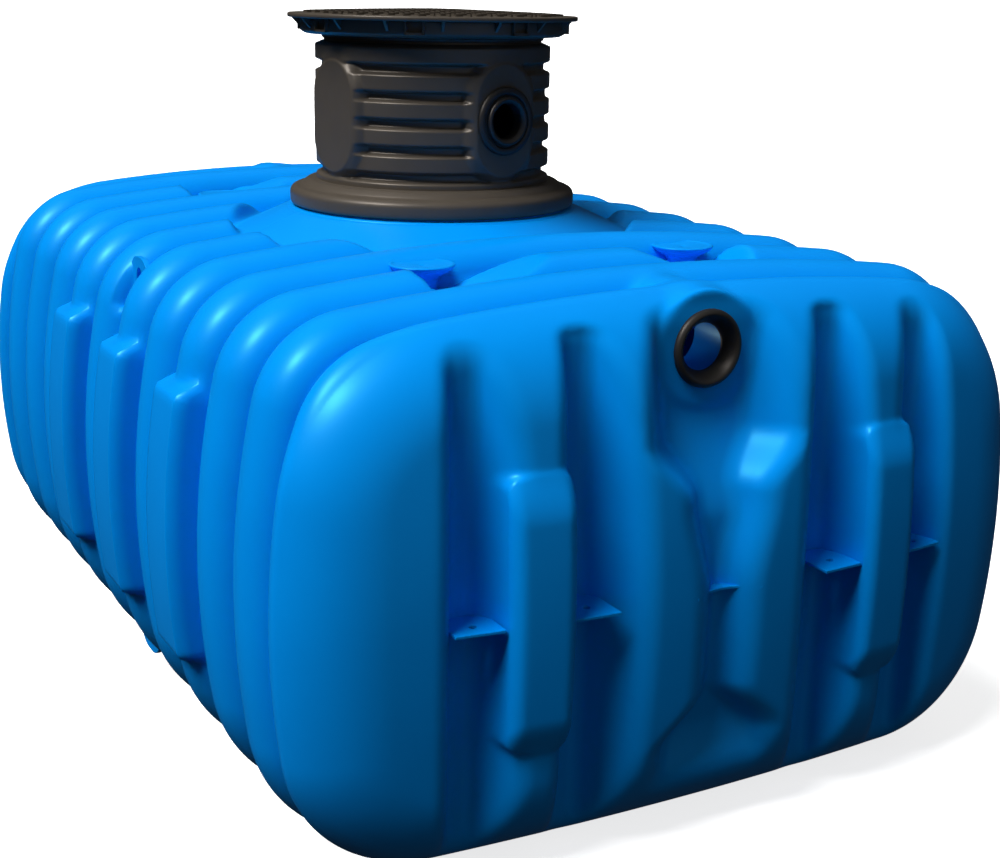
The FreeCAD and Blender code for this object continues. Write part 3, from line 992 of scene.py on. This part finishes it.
    def skin(self) -> Skin:
        """Wrap the field in quads whose points lie on the surface, open at the last valley.

        Returns:
            The outside of the front end.
        """
        half, foot, top = self.reach
        low = np.array([-half, self.barrel.half_length, -foot])
        high = np.array([half, self.tip + self.margin, top])
        counts = np.ceil((high - low) / self.voxel).astype(int) + 1
        axes = [start + self.voxel * np.arange(count) for start, count in zip(low, counts)]
        values = self.field(np.stack(np.meshgrid(*axes, indexing="ij"), -1))
        points, quads = surface_net(values)
        points = low + points * self.voxel
        rim = points[:, 1] < low[1] + self.voxel
        free = np.where(rim[:, None], (1.0, 0.0, 1.0), (1.0, 1.0, 1.0))
        points[rim, 1] = low[1]
        step = self.probe * self.voxel
        for _ in range(self.pulls):
            value = self.field(points)
            ahead = [self.field(points + step * unit) for unit in np.eye(3)]
            slope = np.stack([other - value for other in ahead], -1) / step * free
            steep = np.maximum((slope ** 2).sum(-1), LEAST_SLOPE)
            move = np.clip(value / steep, -self.voxel, self.voxel)
            points = points - slope * move[:, None]
        upright = np.stack([points[:, 0], -points[:, 1], points[:, 2] + self.section.middle], -1)
        return Skin(upright, quads[:, ::-1].tolist())

    def hollow_outline(self) -> Array:
        """Outline of the hollow behind the face, below the inlet's bore."""
        wide, low, high = self.hollow_half_width, self.hollow_foot, self.hollow_top
        return rounded([(-wide, low), (wide, low), (wide, high), (-wide, high)], self.hollow_corner, 8)

    def with_back(self, skin: Skin) -> Skin:
        """Close the open back with a flat ring and a hollow.

        Args:
            skin: outside of the front end.

        Returns:
            The closed end.
        """
        build = bmesh.new()
        corners = [build.verts.new(point) for point in skin.points.tolist()]
        for face in skin.faces:
            build.faces.new([corners[at] for at in face])
        open_edges = [edge for edge in build.edges if edge.is_boundary]
        back, front = -self.barrel.half_length, -self.barrel.half_length - self.hollow_depth
        outline = self.hollow_outline()
        rings = [[build.verts.new((x, y, z)) for x, z in outline] for y in (back, front)]
        edges = [build.edges.new((a, b)) for a, b in zip(rings[0], rings[0][1:] + rings[0][:1])]
        bmesh.ops.triangle_fill(build, use_beauty=False, edges=open_edges + edges)
        for at in range(len(outline)):
            pair = (at, (at + 1) % len(outline))
            build.faces.new([rings[0][pair[0]], rings[0][pair[1]], rings[1][pair[1]], rings[1][pair[0]]])
        build.faces.new(rings[1])
        return Skin.taken_from(build)

    def build(self, shop: Workshop) -> None:
        """Make the front end and its mirror image at the rear.

        Args:
            shop: workshop that makes the pieces.
        """
        front = self.with_back(self.skin())
        own = ["end_middle", "end_sides", "rim", "rim_corners", "inlet_socket"]
        for end in End:
            skin = front if end is End.FRONT else front.placed(mirror(1))
            nodes = ["%s_%s" % (end.label, name) for name in own]
            shop.add("%s_end" % end.label, skin, Slot.TANK, nodes, crease=60.0)


def surface_net(values: Array) -> tuple[Array, Array]:
    """Wrap the inside of a field in quads, one point in each cell that the surface crosses.

    Args:
        values: field on a grid, negative inside.

    Returns:
        Points in grid steps, and quads that face outwards on a right-handed grid.
    """
    inside = values < 0.0
    size = np.array(values.shape) - 1
    offsets = [np.array([i, j, k]) for i in (0, 1) for j in (0, 1) for k in (0, 1)]
    views = [inside[o[0]:o[0] + size[0], o[1]:o[1] + size[1], o[2]:o[2] + size[2]] for o in offsets]
    full = sum(view.astype(np.int8) for view in views)
    cells = np.argwhere((full > 0) & (full < 8))
    number = np.full(size, -1)
    number[tuple(cells.T)] = np.arange(len(cells))
    total, crossings = np.zeros((len(cells), 3)), np.zeros((len(cells), 1))
    for start in offsets:
        for axis in range(3):
            if start[axis]:
                continue
            stop = start + np.eye(3, dtype=int)[axis]
            a, b = values[tuple((cells + start).T)], values[tuple((cells + stop).T)]
            crossed = (a < 0.0) != (b < 0.0)
            share = np.where(crossed, a / np.where(crossed, a - b, 1.0), 0.0)
            place = cells + start + share[:, None] * (stop - start)
            total += np.where(crossed[:, None], place, 0.0)
            crossings += crossed[:, None]
    quads = []
    for axis in range(3):
        one, two = np.eye(3, dtype=int)[(axis + 1) % 3], np.eye(3, dtype=int)[(axis + 2) % 3]
        near = np.argwhere(np.diff(inside.astype(np.int8), axis=axis) != 0)
        near = near[((near >= one + two) & (near < size)).all(1)]
        ring = [near - one - two, near - two, near, near - one]
        corner = np.stack([number[tuple(r.T)] for r in ring], -1)
        leaving = inside[tuple(near.T)]
        quads.append(np.where(leaving[:, None], corner, corner[:, ::-1]))
    return total / crossings, np.concatenate(quads)


# Fittings

@dataclass
class TiePlates:
    """Thin plates across the grooves of an end at mid-height, the side ones with a hole for a tie."""

    face: BulgedEnd
    thickness: float = 0.007
    hole: float = 0.009
    tuck: float = 0.024
    set_back: float = 0.003
    arch: float = 0.034
    height: float = 0.608
    root: float = 0.01
    hole_place: float = 0.6
    hole_segments: int = 24
    arch_points: int = 21
    edge: float = 0.0012

    def side_plate(self, near: float, far: float) -> Skin:
        """Model the plate of one right-hand side groove, flush with the bow of the end.

        Args:
            near: distance across of the inner foot of the groove's walls.
            far: distance across of the outer foot.

        Returns:
            The plate with its hole.
        """
        centre = (near + far) / 2.0
        floor = self.face.groove_floor - self.root
        low, high = near - self.tuck, far + self.tuck
        front = [self.face.bow(at, 0.0) - self.set_back for at in (low, high)]
        outline = np.array([(low, floor), (high, floor), (high, front[1]), (low, front[0])])
        hole_at = (centre, floor + self.hole_place * (front[0] - floor))
        hole = circle(self.hole, self.hole_segments, hole_at)
        return plate(outline, [hole], -self.thickness / 2.0, self.thickness / 2.0)

    def middle_plate(self) -> Skin:
        """Model the plate of the middle groove, its front edge hollowed to an arch.

        Returns:
            The plate.
        """
        half = self.face.waist + self.tuck
        floor = self.face.tip - self.face.groove_depth - self.root
        across = np.linspace(half, -half, self.arch_points)
        front = self.face.bow(across, 0.0) - self.arch * np.clip(1.0 - (across / half) ** 2, 0.0, 1.0)
        outline = np.concatenate([[(-half, floor), (half, floor)], np.stack([across, front], -1)])
        return plate(outline, [], -self.thickness / 2.0, self.thickness / 2.0)

    def build(self, shop: Workshop) -> None:
        """Make the five plates of each end.

        Args:
            shop: workshop that makes the pieces.
        """
        right = [self.side_plate(*groove) for groove in self.face.grooves]
        left = [skin.placed(mirror(0)) for skin in right]
        row = self.middle_plate().joined(*right, *left)
        for end in End:
            skin = row.placed(np.diag([1.0, end.value, 1.0]), (0.0, 0.0, self.height))
            name = "%s_tie_plates" % end.label
            shop.add(name, skin, Slot.TANK, [name], crease=40.0, bevel=self.edge)


@dataclass
class LiftingEyes:
    """Upright plates with an eye across the middle valley, at the shoulders and at the heels."""

    section: Section
    thickness: float = 0.014
    half_length: float = 0.085
    shoulder_face: float = 0.858
    shoulder_rows: tuple[float, float, float] = (0.420, 0.517, 0.578)
    heel_face: float = 0.872
    heel_rows: tuple[float, float, float] = (-0.400, -0.471, -0.531)
    eye_half_width: float = 0.025
    eye_stretch: float = 1.3
    eye_segments: int = 40
    tip_share: float = 0.5
    shoulder_share: float = 0.25
    corner: float = 0.03
    edge: float = 0.003

    def eye(self, face: float, rows: tuple[float, float, float]) -> Skin:
        """Model one plate on the right-hand side.

        Args:
            face: distance of its outer face from the middle of the tank.
            rows: heights of its root, its eye and its tip from mid-height.

        Returns:
            The plate with its eye.
        """
        root, middle, tip = rows
        shoulder = tip + self.shoulder_share * (root - tip)
        half, narrow = self.half_length, self.tip_share * self.half_length
        outline = rounded([(-half, root), (half, root), (half, shoulder), (narrow, tip), (-narrow, tip),
                           (-half, shoulder)], self.corner, 6)
        hole = circle(self.eye_half_width, self.eye_segments, (0.0, middle), self.eye_stretch)
        skin = plate(outline, [hole], face - self.thickness, face)
        return skin.placed(UPRIGHT_TO_RIGHT, (0.0, 0.0, self.section.middle))

    def build(self, shop: Workshop) -> None:
        """Make the eyes of both sides.

        Args:
            shop: workshop that makes the pieces.
        """
        right = self.eye(self.shoulder_face, self.shoulder_rows)
        right = right.joined(self.eye(self.heel_face, self.heel_rows))
        for side, skin in (("right", right), ("left", right.placed(mirror(0)))):
            name = "%s_lifting_lugs" % side
            shop.add(name, skin, Slot.TANK, [name], crease=40.0, bevel=self.edge)


@dataclass
class SupportPads:
    """Funnel-shaped posts in the roof's pockets, with nearly flat tops."""

    barrel: Barrel
    top: float = 1.238
    root: float = 1.160
    stem: float = 0.034
    stem_flare: float = 0.004
    # Distance inwards from the rim and height over the top, point by point
    dish: tuple[tuple[float, float], ...] = ((0.010, -0.012), (0.0, 0.0), (0.008, 0.003), (0.014, 0.0))
    dish_foot: float = 0.030
    dish_middle: float = 0.002
    edge_radius: float = 0.012
    segments: int = 48

    def build(self, shop: Workshop) -> None:
        """Make the two posts near each end.

        Args:
            shop: workshop that makes the pieces.
        """
        radius = self.barrel.pad_radius
        corners = [(NEAR_AXIS, self.root), (self.stem, self.root),
                   (self.stem + self.stem_flare, self.top - self.dish_foot),
                   *((radius - inwards, self.top + up) for inwards, up in self.dish),
                   (NEAR_AXIS, self.top - self.dish_middle)]
        post = lathe(rounded(corners, self.edge_radius), self.segments)
        for end in End:
            across, along = self.barrel.pad_across, end.value * self.barrel.pad_along
            posts = [post.placed(np.eye(3), (side * across, along, 0.0)) for side in (-1.0, 1.0)]
            name = "%s_support_pads" % end.label
            shop.add(name, posts[0].joined(posts[1]), Slot.TANK, [name], crease=70.0)


@dataclass
class LipSeals:
    """Rubber seals that a pipe is pushed into: a round flange, a funnel and a soft lip."""

    face: BulgedEnd
    shaft: "Shaft"
    flange: float = 0.0875
    inlet_edge: float = 0.007
    outlet_edge: float = 0.004
    segments: int = 96

    def inlet(self) -> Skin:
        """Model the seal of an end, its axis upright: a fat flange whose front runs down into the lip.

        Returns:
            The seal, its height counted from the wall outwards.
        """
        corners = [(0.067, -0.030), (0.069, -0.001), (0.080, -0.001), (self.flange, 0.003),
                   (self.flange, 0.014), (0.079, 0.021), (0.072, 0.019), (0.055, -0.006), (0.052, -0.016),
                   (0.058, -0.024)]
        return lathe(rounded(corners, self.inlet_edge), self.segments)

    def outlet(self) -> Skin:
        """Model the seal of the shaft, its axis upright: a flat flange, a groove, a raised ring and the lip.

        Returns:
            The seal, its height counted from the wall outwards.
        """
        corners = [(0.060, -0.034), (0.066, -0.002), (0.084, -0.002), (0.090, 0.001), (0.090, 0.008),
                   (0.084, 0.013), (0.072, 0.013), (0.069, 0.007), (0.066, 0.007), (0.063, 0.018),
                   (0.056, 0.020), (0.047, 0.012), (0.046, -0.020), (0.052, -0.030)]
        return lathe(rounded(corners, self.outlet_edge), self.segments)

    def build(self, shop: Workshop) -> None:
        """Make the seals of both ends and of the shaft.

        Args:
            shop: workshop that makes the pieces.
        """
        height = self.face.barrel.inlet_height
        front = self.inlet().placed(UPRIGHT_TO_FRONT, (0.0, -self.face.recess_floor, height))
        outlet_at = (0.0, -self.shaft.flat_reach, self.shaft.flat_height)
        outlet = self.outlet().placed(UPRIGHT_TO_FRONT, outlet_at)
        outlet = outlet.placed(turn_z(math.radians(self.shaft.flat_turn)))
        for name, skin in (("front_lip_seal", front), ("rear_lip_seal", front.placed(mirror(1))),
                           ("shaft_lip_seal", outlet)):
            shop.add(name, skin, Slot.SEAL, ["lip_seals"], crease=70.0)


# Shaft and lid

@dataclass
class Neck:
    """Stepped rim on top of the roof's cone, under the shaft."""

    barrel: Barrel
    shaft: "Shaft"
    foot: float = 1.235
    radius: float = 0.396
    edge_radius: float = 0.004
    segments: int = 144
    flare: float = 0.026
    # Distance outwards from the radius and down from the top, point by point
    steps: tuple[tuple[float, float], ...] = (
        (0.024, 0.017), (0.012, 0.014), (0.011, 0.006), (-0.006, 0.004), (-0.008, 0.0))

    def build(self, shop: Workshop) -> None:
        """Make the rim.

        Args:
            shop: workshop that makes the pieces.
        """
        bore, top = self.barrel.opening_radius, self.shaft.foot
        corners = [(bore, self.foot), (self.radius + self.flare, self.foot),
                   *((self.radius + out, top - down) for out, down in self.steps), (bore, top)]
        skin = lathe(rounded(corners, self.edge_radius, 3), self.segments)
        shop.add("neck_rim", skin, Slot.TANK, ["neck"], crease=50.0)


@dataclass
class Shaft:
    """Access shaft: a stepped foot ring and a corrugated wall with four oval flats."""

    foot: float = 1.283
    base: float = 1.352
    top: float = 1.748
    radius: float = 0.327
    groove: float = 0.309
    bore: float = 0.290
    collar: float = 0.302
    collar_height: float = 0.020
    ring_pitch: float = 0.0705
    ring_flank: float = 0.010
    ring_gap: float = 0.024
    flat_half: float = 0.095
    flat_reach: float = 0.331
    flat_height: float = 1.5326
    flat_half_height: float = 0.154
    flat_skirt: float = 0.026
    flat_turn: float = 9.0
    flat_rim: float = 0.008
    flat_dish: float = 0.004
    flat_blend: float = 0.004
    outlet_bore: float = 0.066
    outlet_reach: tuple[float, float] = (0.2, 0.45)
    outlet_segments: int = 64
    foot_height: float = 0.070
    foot_edge: float = 0.010
    foot_segments: int = 144
    # Radius and height over the foot, point by point
    foot_steps: tuple[tuple[float, float], ...] = (
        (0.397, 0.0), (0.4016, 0.008), (0.4016, 0.038), (0.390, 0.049), (0.371, 0.051), (0.365, 0.058),
        (0.350, 0.069))
    lap: float = 0.004
    around: int = 384
    rows: int = 128

    def wall_profile(self, z: Array) -> Array:
        """Work out the corrugated wall: rings with narrow grooves below the plain collar.

        Args:
            z: heights.

        Returns:
            The wall's radius at each height.
        """
        down = self.top - self.collar_height - z
        at = down % self.ring_pitch
        gap = self.ring_pitch - self.ring_gap
        rise = smooth_step(at, 0.0, self.ring_flank) * (1.0 - smooth_step(at, gap, gap + self.ring_flank))
        rings = self.groove + (self.radius - self.groove) * rise
        return np.where(down < 0.0, self.collar, rings)

    def wall(self) -> Skin:
        """Model the wall on a grid round and up, the flats growing out of the rings.

        Returns:
            The closed tube.
        """
        turn = np.linspace(0.0, 2.0 * math.pi, self.around, endpoint=False)[:, None]
        z = np.linspace(self.base - self.lap, self.top, self.rows)[None, :]
        radius = np.broadcast_to(self.wall_profile(z), (self.around, self.rows))
        quarter = math.pi / 2.0
        off = (turn - math.radians(self.flat_turn) + quarter / 2.0) % quarter - quarter / 2.0
        across = self.radius * np.sin(off)
        tall = np.maximum(np.abs(z - self.flat_height) - (self.flat_half_height - self.flat_half), 0.0)
        away = np.hypot(across, tall) - self.flat_half
        plane = self.flat_reach / np.cos(off)
        flat = plane - self.flat_dish * smooth_step(away, -self.flat_rim, 0.0)
        share = smooth_step(away, -self.flat_blend, self.flat_skirt)
        radius = flat * (1.0 - share) + radius * share
        spokes = [np.cos(turn), np.sin(turn)]
        outer = np.stack([*(radius * spoke for spoke in spokes), np.broadcast_to(z, radius.shape)], -1)
        inner = np.stack([*(np.repeat(self.bore * spoke, 2, 1) for spoke in spokes),
                          np.broadcast_to(z[0, [0, -1]], (self.around, 2))], -1)
        return Barrel.closed(outer, inner, flipped=True)

    def foot_ring(self) -> Skin:
        """Model the foot ring with a full rounded edge and a smaller step on top.

        Returns:
            The ring.
        """
        corners = [(self.bore, self.foot), *((radius, self.foot + up) for radius, up in self.foot_steps),
                   (self.bore, self.foot + self.foot_height)]
        return lathe(rounded(corners, self.foot_edge, 5), self.foot_segments)

    def build(self, shop: Workshop) -> None:
        """Make the foot ring and the wall, open where the outlet's seal sits.

        Args:
            shop: workshop that makes the pieces.
        """
        shop.add("shaft_foot", self.foot_ring(), Slot.SHAFT, ["shaft_flange"], crease=60.0)
        nodes = ["shaft_wall", "shaft_socket", "shaft_flats"]
        wall = shop.add("shaft_wall_tube", self.wall(), Slot.SHAFT, nodes, crease=60.0)
        plug = cylinder(self.outlet_bore, *self.outlet_reach, self.outlet_segments)
        plug = plug.placed(UPRIGHT_TO_FRONT, (0.0, 0.0, self.flat_height))
        shop.cut(wall, plug.placed(turn_z(math.radians(self.flat_turn))))


@dataclass
class Lid:
    """Lid: a skirt with gussets and catches, and a round plate with a raised grip pattern."""

    skirt_foot: float = 1.740
    plate_foot: float = 1.788
    radius: float = 0.4014
    edge: float = 0.013
    crown: float = 0.012
    skirt_radius: float = 0.367
    skirt_wall: float = 0.014
    gussets: int = 16
    gusset_thickness: float = 0.008
    gusset_drop: float = 0.030
    gusset_short: float = 0.010
    sunk: float = 0.004
    catches: int = 8
    catch_shift: float = 0.25
    catch_half: float = 0.026
    catch_bar: float = 0.006
    catch_drop: float = 0.034
    catch_reach: float = 0.010
    # Radius and height over the skirt's foot, point by point
    ledge: tuple[tuple[float, float], ...] = ((0.294, -0.006), (0.306, -0.006), (0.309, 0.004))
    ledge_under: float = 0.006
    ledge_over: float = 0.014
    ledge_corner: float = 0.016
    ring_segments: int = 144
    rim_width: float = 0.014
    rim_foot: float = 0.018
    rim_rise: float = 0.002
    cover_segments: int = 160
    edge_radius: float = 0.003
    crown_knee: float = 0.20
    knee_share: float = 0.6
    crown_power: float = 1.3
    grip_pitch: float = 0.030
    grip_length: float = 0.022
    grip_width: float = 0.007
    grip_height: float = 0.0035
    grip_radius: float = 0.368

    def catch(self) -> Skin:
        """Model one catch: a foot bar between two upright ones.

        Returns:
            The catch on the first axis.
        """
        top, side, bar = self.plate_foot, self.catch_half, self.catch_bar
        near, far = self.skirt_radius - self.sunk, self.skirt_radius + self.catch_reach
        foot = top - self.catch_drop
        spans = ((-side, bar - side, top), (side - bar, side, top), (-side, side, foot + bar))
        bars = [box((near, left, foot), (far, right, high)) for left, right, high in spans]
        return bars[0].joined(*bars[1:])

    def ring(self) -> Skin:
        """Model the skirt ring with its inward ledge, its gussets and its catches.

        Returns:
            The ring.
        """
        r, foot, top = self.skirt_radius, self.skirt_foot, self.plate_foot
        inside = r - self.skirt_wall
        over = foot + self.ledge_over
        corners = [*((radius, foot + up) for radius, up in self.ledge), (inside, foot + self.ledge_under),
                   (r, over), (r, top), (inside, top), (inside, foot + self.ledge_corner),
                   (self.ledge[0][0], over)]
        skin = lathe(rounded(corners, self.edge_radius, 3), self.ring_segments)
        root, tip = r - self.sunk, self.radius - self.gusset_short
        wedge = np.array([(root, top - self.gusset_drop), (tip, top), (root, top)])
        half = self.gusset_thickness / 2.0
        gusset, catch = plate(wedge, [], -half, half).placed(UPRIGHT_TO_FRONT), self.catch()
        turns = [2.0 * math.pi * at / self.gussets for at in range(self.gussets)]
        extras = [gusset.placed(turn_z(turn)) for turn in turns]
        turns = [2.0 * math.pi * (at + self.catch_shift) / self.catches for at in range(self.catches)]
        extras += [catch.placed(turn_z(turn)) for turn in turns]
        return skin.joined(*extras)

    def cover(self) -> Skin:
        """Model the round plate with a low crown and a raised edge.

        Returns:
            The plate.
        """
        low, high, r, soft = self.plate_foot, self.plate_foot + self.edge, self.radius, self.edge_radius
        corners = [(NEAR_AXIS, low), (r - soft, low), (r, low + soft), (r, high - soft), (r - soft, high),
                   (r - self.rim_width, high), (r - self.rim_foot, high - self.rim_rise),
                   (self.crown_knee, high + self.knee_share * self.crown), (NEAR_AXIS, high + self.crown)]
        return lathe(rounded(corners, soft, 3), self.cover_segments)

    def grip(self) -> Skin:
        """Model the raised bars on the plate, every other one turned across its neighbours.

        Returns:
            All bars.
        """
        half = (self.grip_length / 2.0, self.grip_width / 2.0)
        outline = [(-half[0], -half[1]), (half[0], -half[1]), half, (-half[0], half[1])]
        bar = plate(rounded(outline, self.edge_radius, 2), [], -self.edge_radius, self.grip_height)
        count = int(self.grip_radius / self.grip_pitch) + 1
        bars = []
        for i in range(-count, count + 1):
            for j in range(-count, count + 1):
                x, y = i * self.grip_pitch, j * self.grip_pitch
                away = math.hypot(x, y)
                if away + half[0] > self.grip_radius:
                    continue
                crown = self.crown * (1.0 - (away / self.radius) ** self.crown_power)
                height = self.plate_foot + self.edge + crown
                bars.append(bar.placed(turn_z((i + j) % 2 * math.pi / 2.0), (x, y, height)))
        return bars[0].joined(*bars[1:])

    def build(self, shop: Workshop) -> None:
        """Make the skirt and the plate.

        Args:
            shop: workshop that makes the pieces.
        """
        shop.add("lid_ring", self.ring(), Slot.SHAFT, ["lid_skirt"], crease=50.0)
        shop.add("lid_cover", self.cover().joined(self.grip()), Slot.SHAFT, ["lid_plate"], crease=50.0)


# Studio

@dataclass
class Studio:
    """Pale floor, soft light from above on the left, and the camera."""

    camera_place: tuple[float, float, float] = (-2.0117, -4.0533, 1.8745)
    camera_turn: float = 29.0041
    camera_dip: float = 15.618
    camera_roll: float = 1.0439
    lens_mm: float = 56.841
    sensor_mm: float = 36.0
    floor_radius: float = 4000.0
    floor_colour: str = "#fbfbfb"
    floor_glow: float = 0.8
    floor_roughness: float = 0.9
    sun_from: tuple[float, float, float] = (-0.52, 0.00, 0.855)
    gleam_from: tuple[float, float, float] = (-0.66, -0.05, 0.75)
    sun_strength: float = 4.45
    sun_spread: float = 36.0
    sky_high: float = 0.16
    sky_low: float = 0.015
    sky_rows: tuple[float, float] = (0.35, 1.0)
    fill_from: tuple[float, float, float] = (0.10, -0.95, 0.25)
    fill_strength: float = 0.20
    gleam_strength: float = 2.8
    gleam_spread: float = 11.0
    fill_spread: float = 70.0
    lamp_place: tuple[float, float, float] = (-0.10, -1.05, 1.00)
    lamp_watts: float = 0.5
    lamp_size: float = 0.05

    def add_camera(self) -> None:
        """Place the camera where the picture was taken from."""
        data = bpy.data.cameras.new("camera")
        data.lens, data.sensor_width = self.lens_mm, self.sensor_mm
        data.clip_end = 4.0 * self.floor_radius
        camera = bpy.data.objects.new("camera", data)
        turns = ((-self.camera_turn, "Z"), (90.0 - self.camera_dip, "X"), (self.camera_roll, "Z"))
        camera.matrix_world = Matrix.Translation(self.camera_place)
        for angle, axis in turns:
            camera.matrix_world = camera.matrix_world @ Matrix.Rotation(math.radians(angle), 4, axis)
        bpy.context.scene.collection.objects.link(camera)
        bpy.context.scene.camera = camera

    def add_floor(self) -> None:
        """Lay a plain pale floor that doesn't tint the tank from below."""
        disc = circle(self.floor_radius, 96)
        mesh = bpy.data.meshes.new("floor_sheet")
        mesh.from_pydata([(x, y, 0.0) for x, y in disc], [], [list(range(len(disc)))])
        material = bpy.data.materials.new("paper_matt_white")
        material.use_nodes = True
        shader = material.node_tree.nodes["Principled BSDF"]
        shader.inputs["Base Color"].default_value = linear(self.floor_colour)
        shader.inputs["Roughness"].default_value = self.floor_roughness
        shader.inputs["Emission Color"].default_value = linear(self.floor_colour)
        shader.inputs["Emission Strength"].default_value = self.floor_glow
        mesh.materials.append(material)
        floor = bpy.data.objects.new("floor_sheet", mesh)
        bpy.context.scene.collection.objects.link(floor)
        floor.visible_diffuse = False
        floor.visible_glossy = False

    def add_light(self) -> None:
        """Set a broad key light from above on the left with its gleam, a weak fill and a lamp inside."""
        suns = (("key_light", self.sun_from, self.sun_strength, self.sun_spread, True, False),
                ("gleam_light", self.gleam_from, self.gleam_strength, self.gleam_spread, False, True),
                ("fill_light", self.fill_from, self.fill_strength, self.fill_spread, True, True))
        for name, source, strength, spread, diffuse, glossy in suns:
            data = bpy.data.lights.new(name, "SUN")
            data.energy, data.angle = strength, math.radians(spread)
            sun = bpy.data.objects.new(name, data)
            sun.rotation_euler = Vector(source).to_track_quat("Z", "Y").to_euler()
            sun.visible_diffuse, sun.visible_glossy = diffuse, glossy
            bpy.context.scene.collection.objects.link(sun)
        data = bpy.data.lights.new("inside_light", "POINT")
        data.energy, data.shadow_soft_size = self.lamp_watts, self.lamp_size
        lamp = bpy.data.objects.new("inside_light", data)
        lamp.location, lamp.visible_camera = self.lamp_place, False
        bpy.context.scene.collection.objects.link(lamp)

    def add_sky(self) -> None:
        """Set a dim white sky that is darker towards the horizon, and plain colours in the picture."""
        world = bpy.data.worlds.new("studio_sky")
        world.use_nodes = True
        tree = world.node_tree
        tree.nodes.clear()
        place = add_node(tree, "ShaderNodeTexCoord").outputs["Generated"]
        up = add_node(tree, "ShaderNodeSeparateXYZ", {}, {"Vector": place}).outputs["Z"]
        strength = add_node(tree, "ShaderNodeMapRange", {
            "From Min": self.sky_rows[0], "From Max": self.sky_rows[1], "To Min": self.sky_low,
            "To Max": self.sky_high, "interpolation_type": "SMOOTHSTEP"}, {"Value": up}).outputs["Result"]
        sky = add_node(tree, "ShaderNodeBackground", {"Color": (1.0, 1.0, 1.0, 1.0)}, {"Strength": strength})
        add_node(tree, "ShaderNodeOutputWorld", {}, {"Surface": sky.outputs["Background"]})
        bpy.context.scene.world = world
        bpy.context.scene.view_settings.view_transform = "Standard"

    def build(self) -> None:
        """Set up camera, floor, light and sky."""
        self.add_camera()
        self.add_floor()
        self.add_light()
        self.add_sky()


def main() -> None:
    """Build the tank, light it and report its pieces."""
    logging.basicConfig(level=logging.INFO, format="%(message)s")
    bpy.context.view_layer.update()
    shop = Workshop()
    section = Section()
    barrel = Barrel(section)
    barrel.build(shop)
    face = BulgedEnd(section, barrel)
    face.build(shop)
    shaft = Shaft()
    fittings = (TiePlates(face), LiftingEyes(section), SupportPads(barrel), LipSeals(face, shaft))
    for group in (*fittings, Neck(barrel, shaft), shaft, Lid()):
        group.build(shop)
    Studio().build()


if __name__ == "__main__":
    main()
